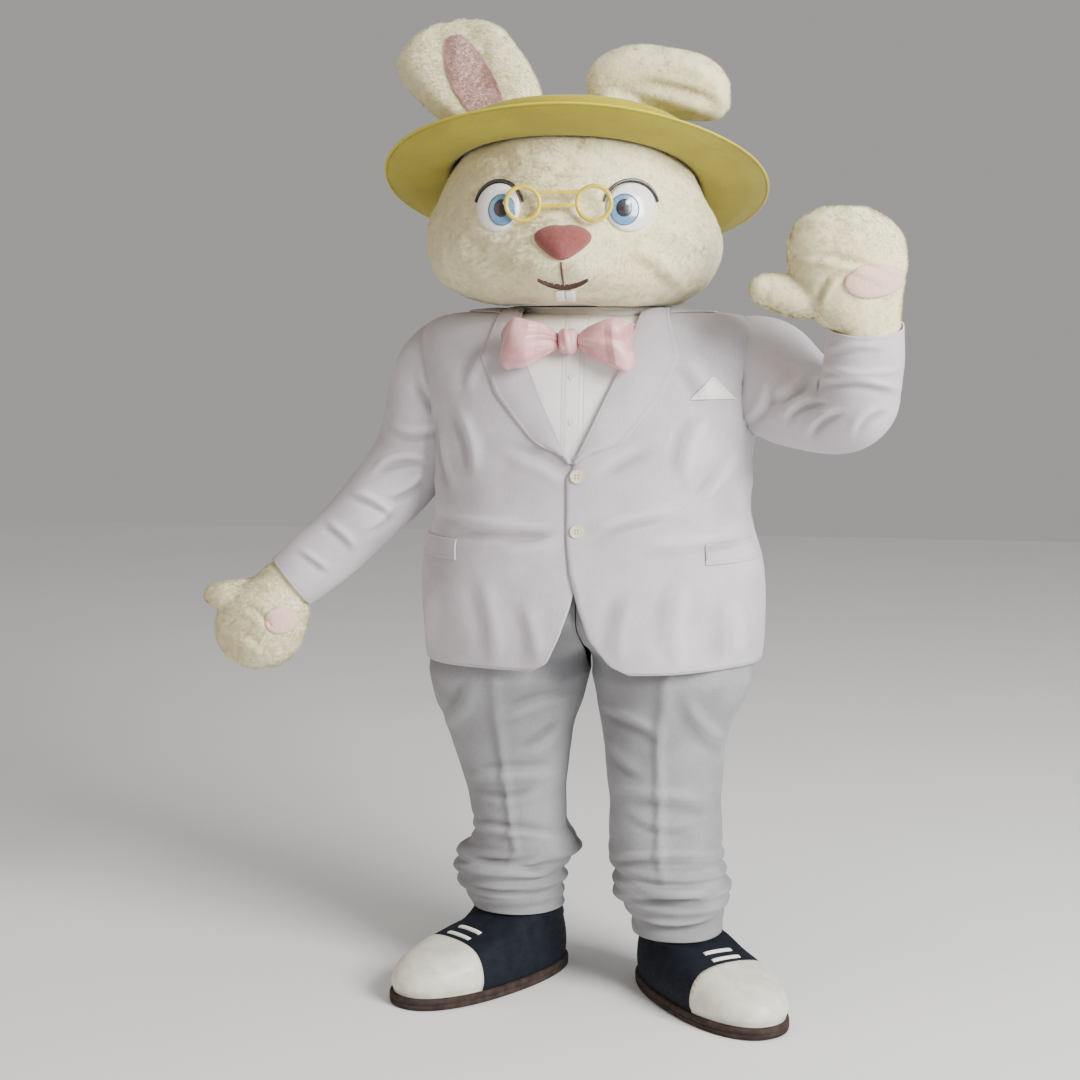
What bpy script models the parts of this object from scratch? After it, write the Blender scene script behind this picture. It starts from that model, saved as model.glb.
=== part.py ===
"""Rabbit mascot costume on its wearer's pose: head, hat, glasses, suit, bow tie, gloves and shoes.

Metres, +Z up, the front faces -Y and +X is the wearer's left. Heights are written above the floor,
and the parent empty lowers everything so that the world origin is at the base of the neck.
"""
import math

import bmesh
import bpy
import numpy as np
from mathutils import Matrix, Vector
from mathutils.bvhtree import BVHTree

# Driving sizes
NECK_Z = 1.30  # height of the world origin above the floor
SEAM = 0.0003  # gap between two pieces that are sewn together
LIE = 0.0007  # gap under a piece that lies on a panel
LIE_ROUND = 0.0014  # the same on strongly rounded places
SUIT_WALL = 0.002  # suit cloth with its lining
SHIRT_WALL = 0.0015
PLUSH_WALL = 0.012  # foam and plush of the head
MITT_WALL = 0.008  # padded plush of the gloves
SHOE_WALL = 0.004
FELT = 0.003
PINK_WALL = 0.0022  # the short plush of the inner ear
LAP = SUIT_WALL + 0.0012  # how far the overlapping front is lifted over the other
POWER = 2.35  # squareness of the torso's sections, 2 is an ellipse
FRONTWARD = np.array((0.0, -1.0, 0.0))

# Jacket form: height, half width, depth to the front, depth to the back
TORSO = np.array([
    (0.645, 0.327, 0.233, 0.213),
    (0.720, 0.335, 0.243, 0.220),
    (0.820, 0.334, 0.240, 0.215),
    (0.900, 0.315, 0.226, 0.202),
    (0.970, 0.306, 0.215, 0.192),
    (1.050, 0.313, 0.215, 0.194),
    (1.130, 0.325, 0.212, 0.198),
    (1.212, 0.336, 0.199, 0.190),
    (1.273, 0.334, 0.177, 0.168),
    (1.303, 0.298, 0.152, 0.142),
    (1.314, 0.218, 0.130, 0.122),
    (1.319, 0.155, 0.114, 0.110),
])

# Front edges and shawl lapels: height, wearer's left edge, right edge (x), lapel's outer edge (|x|)
FRONT_EDGES = np.array([
    (0.645, 0.100, -0.084, 0.100),
    (0.662, 0.064, -0.054, 0.100),
    (0.712, 0.026, -0.030, 0.060),
    (0.770, 0.006, -0.009, 0.050),
    (0.830, -0.010, 0.006, 0.040),
    (0.895, -0.019, 0.012, 0.030),
    (1.008, -0.020, 0.012, 0.024),
    (1.030, -0.006, -0.010, 0.030),
    (1.085, 0.021, -0.037, 0.094),
    (1.165, 0.058, -0.074, 0.158),
    (1.236, 0.092, -0.104, 0.186),
    (1.319, 0.112, -0.120, 0.158),
])
APEX_Z = 1.036  # where the lapels end, just over the upper button
BUTTON_HEIGHTS = (1.012, 0.910)
STAND_INSET = 0.0014  # the shirt collar's distance inside the jacket's neckline

# Gap under each small piece, larger where the surface below it bends more
GAPS = {
    "eye": 0.0020,
    "iris": 0.0018,
    "pupil": 0.0012,
    "lid": 0.0010,
    "nose": 0.0028,
    "mouth": 0.0008,
    "tooth": 0.0005,
    "shirt_button": 0.0004,
    "palm_pad_left": 0.0044,
    "palm_pad_right": 0.0026,
}
KNOT_FORWARD = 0.0174  # the bow tie's knot before the surface behind it

# Sleeves, from inside the shoulder to the wrist: centre x, y, z, half size upwards, half size sideways
SLEEVE_LEFT = np.array([
    (0.200, 0.006, 1.190, 0.084, 0.086),
    (0.262, 0.004, 1.199, 0.098, 0.094),
    (0.326, -0.013, 1.195, 0.111, 0.098),
    (0.382, -0.056, 1.161, 0.100, 0.091),
    (0.436, -0.115, 1.132, 0.078, 0.082),
    (0.481, -0.160, 1.133, 0.076, 0.078),
    (0.510, -0.190, 1.153, 0.077, 0.078),
    (0.520, -0.210, 1.195, 0.074, 0.077),
    (0.525, -0.226, 1.245, 0.072, 0.073),
    (0.526, -0.241, 1.295, 0.069, 0.069),
])
SLEEVE_RIGHT = np.array([
    (-0.215, 0.006, 1.224, 0.082, 0.086),
    (-0.270, 0.005, 1.200, 0.110, 0.097),
    (-0.301, 0.003, 1.146, 0.108, 0.098),
    (-0.326, 0.000, 1.084, 0.095, 0.093),
    (-0.360, -0.006, 1.023, 0.082, 0.085),
    (-0.402, -0.018, 0.965, 0.076, 0.079),
    (-0.452, -0.034, 0.910, 0.070, 0.074),
    (-0.503, -0.052, 0.855, 0.065, 0.070),
    (-0.548, -0.067, 0.815, 0.062, 0.066),
    (-0.588, -0.080, 0.781, 0.060, 0.063),
])

# Mitts from inside the cuff to the fingers' end: centre x, y, z, half size across, half size through
MITT_LEFT = np.array([
    (0.5257, -0.2330, 1.270, 0.0665, 0.0675),
    (0.5270, -0.2440, 1.304, 0.0640, 0.0650),
    (0.517, -0.254, 1.332, 0.084, 0.070),
    (0.504, -0.259, 1.365, 0.100, 0.075),
    (0.494, -0.263, 1.410, 0.107, 0.076),
    (0.490, -0.265, 1.452, 0.102, 0.070),
    (0.489, -0.266, 1.486, 0.078, 0.054),
    (0.489, -0.266, 1.505, 0.044, 0.032),
])
THUMB_LEFT = np.array([
    (0.462, -0.258, 1.346, 0.038, 0.042),
    (0.414, -0.262, 1.344, 0.042, 0.045),
    (0.370, -0.265, 1.352, 0.038, 0.040),
    (0.337, -0.266, 1.360, 0.028, 0.029),
    (0.322, -0.266, 1.364, 0.015, 0.015),
])
MITT_RIGHT = np.array([
    (-0.5670, -0.0730, 0.7990, 0.0579, 0.0614),
    (-0.5970, -0.0835, 0.7740, 0.0564, 0.0584),
    (-0.611, -0.091, 0.750, 0.070, 0.064),
    (-0.629, -0.100, 0.722, 0.086, 0.068),
    (-0.650, -0.108, 0.690, 0.089, 0.066),
    (-0.670, -0.114, 0.660, 0.077, 0.056),
    (-0.684, -0.118, 0.637, 0.052, 0.040),
    (-0.691, -0.120, 0.624, 0.025, 0.020),
])
THUMB_RIGHT = np.array([
    (-0.632, -0.094, 0.748, 0.036, 0.042),
    (-0.672, -0.103, 0.751, 0.038, 0.042),
    (-0.713, -0.110, 0.755, 0.032, 0.036),
    (-0.742, -0.113, 0.758, 0.022, 0.024),
    (-0.756, -0.114, 0.759, 0.011, 0.012),
])

# Head form: centre x, centre y, centre height, tilt back in degrees, half width, front, back
HEAD = np.array([
    (-0.014, 0.000, 1.3240, 0.0, 0.120, 0.096, 0.092),
    (-0.015, 0.000, 1.3240, 0.0, 0.172, 0.163, 0.156),
    (-0.025, 0.000, 1.3350, 0.0, 0.209, 0.204, 0.196),
    (-0.032, 0.000, 1.3650, 0.0, 0.256, 0.240, 0.240),
    (-0.035, 0.000, 1.4030, 0.0, 0.280, 0.260, 0.264),
    (-0.036, 0.000, 1.4450, 1.0, 0.286, 0.266, 0.274),
    (-0.037, 0.000, 1.4850, 6.0, 0.278, 0.262, 0.270),
    (-0.036, 0.000, 1.5220, 14.0, 0.258, 0.251, 0.256),
    (-0.034, 0.004, 1.5560, 20.0, 0.238, 0.240, 0.240),
    (-0.034, 0.018, 1.5900, 20.0, 0.214, 0.216, 0.216),
    (-0.034, 0.026, 1.6140, 20.0, 0.165, 0.168, 0.168),
    (-0.034, 0.029, 1.6240, 20.0, 0.110, 0.112, 0.112),
    (-0.034, 0.031, 1.6270, 20.0, 0.045, 0.046, 0.046),
])
HAT_ROW = 8  # the head's row where the hat sits
MUZZLE_X, MUZZLE_Z = -0.018, 1.395

# Hat
HAT_TILT = math.radians(HEAD[HAT_ROW][3])
HAT_CENTRE = Vector(HEAD[HAT_ROW][:3])
BRIM_RADIUS = 0.373
CROWN_HEIGHT = 0.090

# Legs, from the hem upwards: height, inner x, outer x, front y, back y
LEG_LEFT = np.array([
    (0.122, 0.090, 0.262, -0.158, 0.030),
    (0.150, 0.086, 0.264, -0.160, 0.034),
    (0.178, 0.066, 0.273, -0.172, 0.044),
    (0.205, 0.050, 0.278, -0.172, 0.048),
    (0.232, 0.054, 0.268, -0.160, 0.040),
    (0.262, 0.042, 0.264, -0.160, 0.044),
    (0.300, 0.042, 0.260, -0.156, 0.046),
    (0.360, 0.041, 0.259, -0.152, 0.054),
    (0.430, 0.036, 0.262, -0.150, 0.070),
    (0.500, 0.026, 0.269, -0.154, 0.092),
    (0.560, 0.014, 0.298, -0.162, 0.120),
    (0.612, 0.003, 0.320, -0.180, 0.150),
])
LEG_RIGHT = np.array([
    (0.137, 0.058, 0.242, -0.086, 0.104),
    (0.165, 0.060, 0.256, -0.090, 0.106),
    (0.192, 0.055, 0.270, -0.100, 0.112),
    (0.220, 0.052, 0.273, -0.100, 0.114),
    (0.246, 0.026, 0.264, -0.094, 0.112),
    (0.268, 0.032, 0.242, -0.092, 0.110),
    (0.300, 0.050, 0.238, -0.092, 0.108),
    (0.360, 0.054, 0.248, -0.096, 0.110),
    (0.430, 0.048, 0.268, -0.106, 0.116),
    (0.500, 0.036, 0.291, -0.122, 0.124),
    (0.560, 0.018, 0.313, -0.145, 0.134),
    (0.612, 0.003, 0.321, -0.178, 0.150),
])
CROTCH_Z = 0.612
RISE = 0.13  # height over which the crotch curve climbs to the centre front and back
WAIST_Z = 0.935
CREASE = 0.006  # how far the pressed crease stands out
RISE_GAP = 0.0010  # the legs' distance from the middle along the crotch seam

# Shoes: heel point on the floor, heading from -Y towards the outside in degrees
SOLE_HEIGHT = 0.022
SHOES = {
    "left": (Vector((0.110, 0.035, 0.0)), 38.0, 1.0),
    "right": (Vector((-0.077, 0.087, 0.0)), 37.0, -1.0),
}
# Shoe upper: height, front end and back end along the shoe, half width
UPPER = np.array([
    (0.0223, 0.420, 0.004, 0.089),
    (0.0450, 0.422, 0.002, 0.092),
    (0.0680, 0.404, 0.003, 0.089),
    (0.0870, 0.362, 0.006, 0.082),
    (0.1010, 0.300, 0.010, 0.076),
    (0.1120, 0.240, 0.012, 0.075),
])
CAP_LINE = 0.292  # where the toe cap meets the quarters, along the shoe

COLOURS = {  # red, green, blue, roughness
    "plush": (0.82, 0.79, 0.64, 0.95),
    "ear_pink": (0.78, 0.55, 0.52, 0.95),
    "felt": (0.50, 0.43, 0.07, 0.85),
    "suit": (0.60, 0.57, 0.62, 0.85),
    "trouser": (0.40, 0.42, 0.47, 0.85),
    "shirt": (0.86, 0.84, 0.82, 0.8),
    "satin": (0.80, 0.52, 0.53, 0.35),
    "eye_white": (0.90, 0.90, 0.90, 0.2),
    "iris_blue": (0.16, 0.42, 0.66, 0.2),
    "black": (0.02, 0.02, 0.025, 0.25),
    "nose_rose": (0.42, 0.17, 0.16, 0.7),
    "mouth_dark": (0.10, 0.05, 0.05, 0.8),
    "tooth": (0.88, 0.87, 0.82, 0.35),
    "frame_yellow": (0.80, 0.62, 0.10, 0.4),
    "button_yellow": (0.78, 0.74, 0.45, 0.4),
    "pad_pink": (0.84, 0.58, 0.56, 0.9),
    "shoe_navy": (0.02, 0.03, 0.06, 0.6),
    "shoe_cream": (0.78, 0.76, 0.66, 0.55),
    "sole_dark": (0.05, 0.035, 0.03, 0.8),
    "lace": (0.86, 0.85, 0.80, 0.8),
}


def clear_scene():
    for obj in list(bpy.data.objects):
        bpy.data.objects.remove(obj)


def material(slot):
    made = bpy.data.materials.get(slot)
    if made:
        return made
    red, green, blue, rough = COLOURS[slot]
    made = bpy.data.materials.new(slot)
    made.use_nodes = True
    shader = made.node_tree.nodes["Principled BSDF"]
    shader.inputs["Base Color"].default_value = (red, green, blue, 1.0)
    shader.inputs["Roughness"].default_value = rough
    shader.inputs["Metallic"].default_value = 0.0
    return made


def holder():
    """The empty that lowers the figure, so that the world origin is at the base of the neck."""
    empty = bpy.data.objects.get("neck_origin")
    if empty is None:
        empty = bpy.data.objects.new("neck_origin", None)
        empty.location = (0.0, 0.0, -NECK_Z)
        bpy.context.scene.collection.objects.link(empty)
    return empty


def mesh_object(name, verts, faces, slot=None):
    """A mesh object under the empty; with no slot it is a hidden helper for a Boolean.

    Each four-sided face is split the same way, so that a cutter fits the piece it was grown from.
    """
    split = []
    for first, *others in faces:
        split += [(first, *pair) for pair in zip(others, others[1:])]
    mesh = bpy.data.meshes.new(name)
    mesh.from_pydata([tuple(v) for v in verts], [], split)
    bm = bmesh.new()
    bm.from_mesh(mesh)
    bmesh.ops.recalc_face_normals(bm, faces=bm.faces)
    bm.to_mesh(mesh)
    bm.free()
    obj = bpy.data.objects.new(name, mesh)
    bpy.context.scene.collection.objects.link(obj)
    obj.parent = holder()
    if slot is None:
        obj.hide_render = True
        obj.display_type = "WIRE"
    else:
        mesh.materials.append(material(slot))
    return obj


def boolean(obj, other, operation):
    step = obj.modifiers.new(f"{operation.lower()} {other.name}", "BOOLEAN")
    step.operation = operation
    step.object = other
    step.solver = "EXACT"


def smooth(value):
    value = min(1.0, max(0.0, value))
    return value * value * (3 - 2 * value)


def row_at(table, position):
    """A table's row at a fractional row number, by cubic interpolation."""
    last = len(table) - 1
    position = min(max(position, 0.0), float(last))
    low = min(int(position), last - 1)
    part = position - low
    before, here = table[max(low - 1, 0)], table[low]
    after, beyond = table[low + 1], table[min(low + 2, last)]
    slope_here, slope_after = (after - before) / 2, (beyond - here) / 2
    return (
        (2 * part**3 - 3 * part**2 + 1) * here
        + (part**3 - 2 * part**2 + part) * slope_here
        + (3 * part**2 - 2 * part**3) * after
        + (part**3 - part**2) * slope_after
    )


def row_of_height(table, height, column=0):
    """The fractional row number where a rising column reaches a height."""
    low, high = 0.0, float(len(table) - 1)
    for _ in range(30):
        middle = (low + high) / 2
        if row_at(table, middle)[column] < height:
            low = middle
        else:
            high = middle
    return (low + high) / 2


def power_wave(value, power):
    return math.copysign(abs(value) ** (2 / power), value)


def torso_form(angle, row):
    """The jacket's form without folds; angle 0 is the centre front, and the wearer's left is above 0."""
    height, half, front, back = row_at(TORSO, row)
    depth = front if math.cos(angle) > 0 else back
    return np.array((
        half * power_wave(math.sin(angle), POWER),
        -depth * power_wave(math.cos(angle), POWER),
        height,
    ))


def jacket_folds(angle, height):
    """The jacket's largest folds as a height over its form: the waist's pull and the drag at the sides."""
    side = abs(math.sin(angle))
    waist = -0.004 * (1 - 0.6 * side) * math.exp(-(((height - 0.905 - 0.02 * side) / 0.014) ** 2))
    drag = 0.0035 * math.exp(-(((height - 0.985) / 0.020) ** 2)) * side
    skirt = 0.004 * math.sin(5 * angle) * smooth((0.80 - height) / 0.15)
    return waist + drag + skirt


def torso_point(angle, row, out=0.0):
    """A point of the jacket's outer face, moved out along the form's normal."""
    step = 0.004
    here = torso_form(angle, row)
    across = torso_form(angle + step, row) - torso_form(angle - step, row)
    along = torso_form(angle, row + 10 * step) - torso_form(angle, row - 10 * step)
    normal = np.cross(across, along)
    size = np.linalg.norm(normal)
    normal = normal / size if size > 1e-12 else np.array((0.0, 0.0, 1.0))
    return here + normal * (out + jacket_folds(angle, here[2]))


def angle_of_x(x, row):
    """The angle on the front where the form reaches this x."""
    half = row_at(TORSO, row)[1]
    return math.copysign(math.asin(min(1.0, (abs(x) / half)) ** (POWER / 2)), x)


def edge_at(height, column):
    return float(np.interp(height, FRONT_EDGES[:, 0], FRONT_EDGES[:, column]))


def grid_normals(grid, closed):
    """Unit normals of a grid of points, from its neighbours along rows and columns."""
    if closed:
        across = np.roll(grid, -1, axis=1) - np.roll(grid, 1, axis=1)
    else:
        across = np.gradient(grid, axis=1)
    along = np.gradient(grid, axis=0)
    normals = np.cross(across, along)
    sizes = np.linalg.norm(normals, axis=2, keepdims=True)
    return normals / np.maximum(sizes, 1e-12)


def wall(name, grid, thick, slot, axis=None, closed=False, spare=False):
    """A closed wall whose outer face is the grid and whose inner face lies thick behind it.

    axis is the vertical line (x, y) that the wall faces away from; a closed grid uses its rings' middles.
    With spare, the first and last columns only give the seam's normals, which both its panels share.
    """
    grid = np.asarray(grid, float)
    normals = grid_normals(grid, closed)
    if spare:
        grid, normals = grid[:, 1:-1], normals[:, 1:-1]
    if closed:
        middle = grid.mean(axis=1, keepdims=True)
    else:
        middle = np.array(grid)
        middle[..., 0], middle[..., 1] = axis
    if ((grid - middle) * normals).sum() < 0:
        normals = -normals
    rows, columns = grid.shape[:2]
    verts = np.concatenate([grid.reshape(-1, 3), (grid - normals * thick).reshape(-1, 3)])
    inner = rows * columns

    def at(i, j, face):
        return face * inner + i * columns + j % columns

    spans = columns if closed else columns - 1
    faces = []
    for i in range(rows - 1):
        for j in range(spans):
            faces.append((at(i, j, 0), at(i, j + 1, 0), at(i + 1, j + 1, 0), at(i + 1, j, 0)))
            faces.append((at(i, j, 1), at(i + 1, j, 1), at(i + 1, j + 1, 1), at(i, j + 1, 1)))
    for j in range(spans):
        for i in (0, rows - 1):
            faces.append((at(i, j, 0), at(i, j + 1, 0), at(i, j + 1, 1), at(i, j, 1)))
    if not closed:
        for i in range(rows - 1):
            for j in (0, columns - 1):
                faces.append((at(i, j, 0), at(i + 1, j, 0), at(i + 1, j, 1), at(i, j, 1)))
    return mesh_object(name, verts, faces, slot)


def loft(name, rings, slot=None):
    """A closed solid through rings, its ends filled with fans."""
    rings = np.asarray(rings, float)
    rows, columns = rings.shape[:2]
    verts = list(rings.reshape(-1, 3)) + [rings[0].mean(axis=0), rings[-1].mean(axis=0)]
    first, last = rows * columns, rows * columns + 1
    faces = []
    for i in range(rows - 1):
        for j in range(columns):
            k = (j + 1) % columns
            above = (i + 1) * columns
            faces.append((i * columns + j, i * columns + k, above + k, above + j))
    for j in range(columns):
        k = (j + 1) % columns
        faces.append((first, k, j))
        faces.append((last, (rows - 1) * columns + j, (rows - 1) * columns + k))
    return mesh_object(name, verts, faces, slot)


def limb_rings(table, positions, columns, grow=0.0):
    """Rings round a limb's path: table rows hold centre, half size upwards and half size sideways."""
    rings = []
    for position in positions:
        row = row_at(table, position)
        ahead = row_at(table, position + 0.4)[:3]
        behind = row_at(table, position - 0.4)[:3]
        along = (ahead - behind) / np.linalg.norm(ahead - behind)
        side = FRONTWARD - along * np.dot(FRONTWARD, along)
        side /= np.linalg.norm(side)
        up = np.cross(along, side)
        ring = []
        for j in range(columns):
            turn = math.tau * j / columns
            ring.append(
                row[:3]
                + up * (row[3] + grow) * math.cos(turn)
                + side * (row[4] + grow) * math.sin(turn)
            )
        rings.append(ring)
    return np.array(rings)


def with_spares(values):
    """The values with one more before and after them, for a wall's spare columns."""
    return [2 * values[0] - values[1], *values, 2 * values[-1] - values[-2]]


def spaced(first, last, count):
    return [first + (last - first) * k / (count - 1) for k in range(count)]


def hat_point(x, y, z):
    """A point in the hat's own frame: x to the wearer's left, y backwards along the brim, z up its crown."""
    turn = Matrix.Rotation(-HAT_TILT, 3, "X")
    return np.array(HAT_CENTRE + turn @ Vector((x, y, z)))


def head_point(angle, row):
    """A point of the head's outer face; angle 0 is the centre of the face."""
    cx, cy, cz, tilt, half, front, back = row_at(HEAD, row)
    depth = front if math.cos(angle) > 0 else back
    lean = math.radians(tilt)
    across, forward = power_wave(math.sin(angle), 2.2), power_wave(math.cos(angle), 2.2)
    flat = Vector((half * across, -depth * forward, 0.0))
    point = Vector((cx, cy, cz)) + Matrix.Rotation(-lean, 3, "X") @ flat
    if math.cos(angle) > 0:
        off_x = (point.x - MUZZLE_X) / 0.115
        off_z = (point.z - MUZZLE_Z) / 0.050
        point.y -= 0.030 * math.exp(-(off_x**2) - off_z**2)
    return np.array(point)


def head_panels():
    rows = [0, 1, 2, 2.8, 3.4, 4, 4.8, 5.8, 6.8, 8, 10, 12]
    gap = SEAM / 0.12
    for name, start in (("head_face", -math.pi / 2), ("head_back", math.pi / 2)):
        angles = with_spares(spaced(start + gap, start + math.pi - gap, 12))
        grid = [[head_point(a, r) for a in angles] for r in rows]
        wall(name, grid, PLUSH_WALL, "plush", axis=(-0.03, 0.0), spare=True)


def hits(names):
    """A ray caster on the outer faces of the named objects, in the figure's own coordinates."""
    verts, faces = [], []
    graph = bpy.context.evaluated_depsgraph_get()
    for name in names:
        obj = bpy.data.objects[name].evaluated_get(graph)
        start = len(verts)
        mesh = obj.to_mesh()
        verts += [v.co.copy() for v in mesh.vertices]
        faces += [[start + i for i in p.vertices] for p in mesh.polygons]
        obj.to_mesh_clear()
    return BVHTree.FromPolygons(verts, faces)


def front_hit(tree, x, z):
    spot, normal, _, _ = tree.ray_cast(Vector((x, -1.5, z)), Vector((0, 1, 0)))
    if spot is None:
        raise ValueError(f"no surface at {x:.3f}, {z:.3f}")
    return spot, normal if normal.y < 0 else -normal


def patch(name, tree, centre, outline, profile, slot, segments=14, gap=LIE):
    """A piece that lies on a surface, seen from the front.

    outline(turn) gives dx and dz, and profile's rows give the share of the radius and the height there.
    """
    low, high = [], []
    for share, height in profile:
        for k in range(segments):
            dx, dz = outline(math.tau * k / segments)
            spot, normal = front_hit(tree, centre[0] + dx * share, centre[1] + dz * share)
            low.append(spot + normal * gap)
            high.append(spot + normal * (gap + height))
    spot, normal = front_hit(tree, *centre)
    top_height = profile[0][1]
    rings = len(profile)
    count = rings * segments
    verts = low + high + [spot + normal * gap, spot + normal * (gap + top_height)]
    faces = []
    for j in range(segments):
        k = (j + 1) % segments
        faces.append((2 * count, j, k))
        faces.append((2 * count + 1, count + k, count + j))
        for i in range(rings - 1):
            a, b = i * segments + j, i * segments + k
            c, d = a + segments, b + segments
            faces.append((a, c, d, b))
            faces.append((count + a, count + b, count + d, count + c))
        edge_j, edge_k = (rings - 1) * segments + j, (rings - 1) * segments + k
        faces.append((edge_j, count + edge_j, count + edge_k, edge_k))
    return mesh_object(name, verts, faces, slot)


def oval(half_x, half_z, turned=0.0):
    def outline(turn):
        x, z = half_x * math.cos(turn), half_z * math.sin(turn)
        c, s = math.cos(turned), math.sin(turned)
        return x * c - z * s, x * s + z * c

    return outline


EYES = {"right": -0.140, "left": 0.100}
EYE_Z = 1.507
DOME = ((0.35, 0.0095), (0.7, 0.0070), (0.92, 0.0035), (1.0, 0.0010))
IRIS = ((0.55, 0.0013), (1.0, 0.0011))
DISC = ((1.0, 0.0011),)


def face_features():
    face = hits(["head_face"])
    for side, x in EYES.items():
        ball = oval(0.042, 0.044)
        patch(f"eye_{side}", face, (x, EYE_Z), ball, DOME, "eye_white", 14, gap=GAPS["eye"])
        eye = hits([f"eye_{side}"])
        inward = 0.008 if side == "right" else -0.008
        patch(f"iris_{side}", eye, (x + inward, EYE_Z - 0.004), oval(0.026, 0.029), IRIS, "iris_blue",
              12, gap=GAPS["iris"])
        iris = hits([f"iris_{side}"])
        patch(f"pupil_{side}", iris, (x + inward, EYE_Z - 0.001), oval(0.014, 0.016), DISC, "black",
              10, gap=GAPS["pupil"])
        lid(side, x, face)
    nose(face)
    mouth(face)


def band(name, tree, curve, half_width, thick, slot, count=10, gap=LIE):
    """A narrow band along a curve on a surface; curve(share) gives x and z, and it thins to its ends."""
    grid = []
    for k in range(count):
        share = k / (count - 1)
        x, z = curve(share)
        nx, nz = curve(min(1.0, share + 0.02))
        bx, bz = curve(max(0.0, share - 0.02))
        size = math.hypot(nx - bx, nz - bz)
        side_x, side_z = -(nz - bz) / size, (nx - bx) / size
        wide = half_width * (0.35 + 0.65 * math.sin(math.pi * share))
        low, high = [], []
        for part in (-1.0, 0.0, 1.0):
            spot, normal = front_hit(tree, x + side_x * wide * part, z + side_z * wide * part)
            low.append(np.array(spot + normal * gap))
            high.append(np.array(spot + normal * (gap + thick * (1.0 - 0.35 * part * part))))
        grid.append([*low, *reversed(high)])
    return loft(name, grid, slot)


def lid(side, x, face):
    """The dark upper lid, an arc just outside of the eye."""

    def curve(share):
        turn = math.radians(168 - 156 * share)
        return x + 0.0470 * math.cos(turn), EYE_Z + 0.0495 * math.sin(turn)

    band(f"lid_{side}", face, curve, 0.0038, 0.004, "black", 12, gap=GAPS["lid"])


def nose(face):
    def outline(turn):
        x, z = math.cos(turn), math.sin(turn)
        narrow = 1.0 - 0.34 * smooth((0.25 - z) / 1.1)
        return 0.058 * x * narrow, 0.034 * z

    profile = ((0.40, 0.023), (0.78, 0.015), (1.0, 0.0025))
    patch("nose", face, (MUZZLE_X, 1.444), outline, profile, "nose_rose", 14, gap=GAPS["nose"])


def mouth(face):
    def smile(share):
        return MUZZLE_X + 0.046 * (2 * share - 1), 1.363 + 0.014 * (2 * share - 1) ** 2

    def philtrum(share):
        return MUZZLE_X, 1.405 - 0.031 * share

    def square(turn):
        return 0.0082 * power_wave(math.cos(turn), 4), 0.0085 * power_wave(math.sin(turn), 4)

    band("mouth", face, smile, 0.0045, 0.003, "mouth_dark", 12, gap=GAPS["mouth"])
    band("philtrum", face, philtrum, 0.0022, 0.002, "mouth_dark", 5, gap=LIE_ROUND)
    for side, shift in (("left", 0.0095), ("right", -0.0095)):
        x = MUZZLE_X + shift
        patch(f"tooth_{side}", face, (x, 1.3490), square, ((0.55, 0.0040), (1.0, 0.0036)), "tooth", 8,
              gap=GAPS["tooth"])


def glasses():
    """Two rings joined by a double bridge, held just before the face and eyes."""
    centres = (-0.091, 0.040)
    height, ring, wire = 1.514, 0.031, 0.0042
    tree = hits(["head_face", "eye_left", "eye_right", "iris_left", "iris_right", "pupil_left", "pupil_right",
                 "lid_left", "lid_right", "nose"])
    front = []
    for x in centres:
        for k in range(40):
            turn = math.tau * k / 40
            for size in (ring - wire, ring, ring + wire):
                spot, _ = front_hit(tree, x + size * math.cos(turn), height + size * math.sin(turn))
                front.append(spot.y)
    y = min(front) - wire - 0.0005
    made = []
    for k, x in enumerate(centres):
        bpy.ops.mesh.primitive_torus_add(
            major_segments=14, minor_segments=5, major_radius=ring, minor_radius=wire,
            location=(0, 0, 0), rotation=(0, 0, 0))
        obj = bpy.context.object
        obj.data.transform(Matrix.Rotation(math.pi / 2, 4, "X"))
        obj.data.transform(Matrix.Translation((x, y, height)))
        obj.name = "glasses" if k == 0 else "glasses_ring"
        obj.parent = holder()
        made.append(obj)
    middle = sum(centres) / 2
    for k, (z, half) in enumerate(((height + 0.020, 0.045), (height - 0.004, 0.037))):
        bar = box(f"glasses_bar_{k}", (middle, y, z), (half, 0.0030, 0.0034))
        made.append(bar)
    made[0].data.materials.append(material("frame_yellow"))
    for other in made[1:]:
        other.hide_render = True
        other.display_type = "WIRE"
        boolean(made[0], other, "UNION")


def box(name, centre, half, slot=None):
    verts = [
        (centre[0] + half[0] * a, centre[1] + half[1] * b, centre[2] + half[2] * c)
        for a in (-1, 1) for b in (-1, 1) for c in (-1, 1)
    ]
    faces = [(0, 1, 3, 2), (4, 6, 7, 5), (0, 4, 5, 1), (2, 3, 7, 6), (0, 2, 6, 4), (1, 5, 7, 3)]
    return mesh_object(name, verts, faces, slot)


def hat_ring(radius, height, columns=26, grow=0.0):
    """A ring round the crown: near the head it has the head's own section, further out it is round."""
    _, _, _, _, half, front, back = HEAD[HAT_ROW]
    ring = []
    for k in range(columns):
        angle = math.tau * k / columns
        depth = front if math.cos(angle) > 0 else back
        x = (half + grow) * power_wave(math.sin(angle), 2.2)
        y = -(depth + grow) * power_wave(math.cos(angle), 2.2)
        share = radius
        x = x * (1 - share) + BRIM_RADIUS * math.sin(angle) * share
        y = y * (1 - share) - BRIM_RADIUS * math.cos(angle) * share
        ring.append(hat_point(x, y, height))
    return ring


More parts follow.
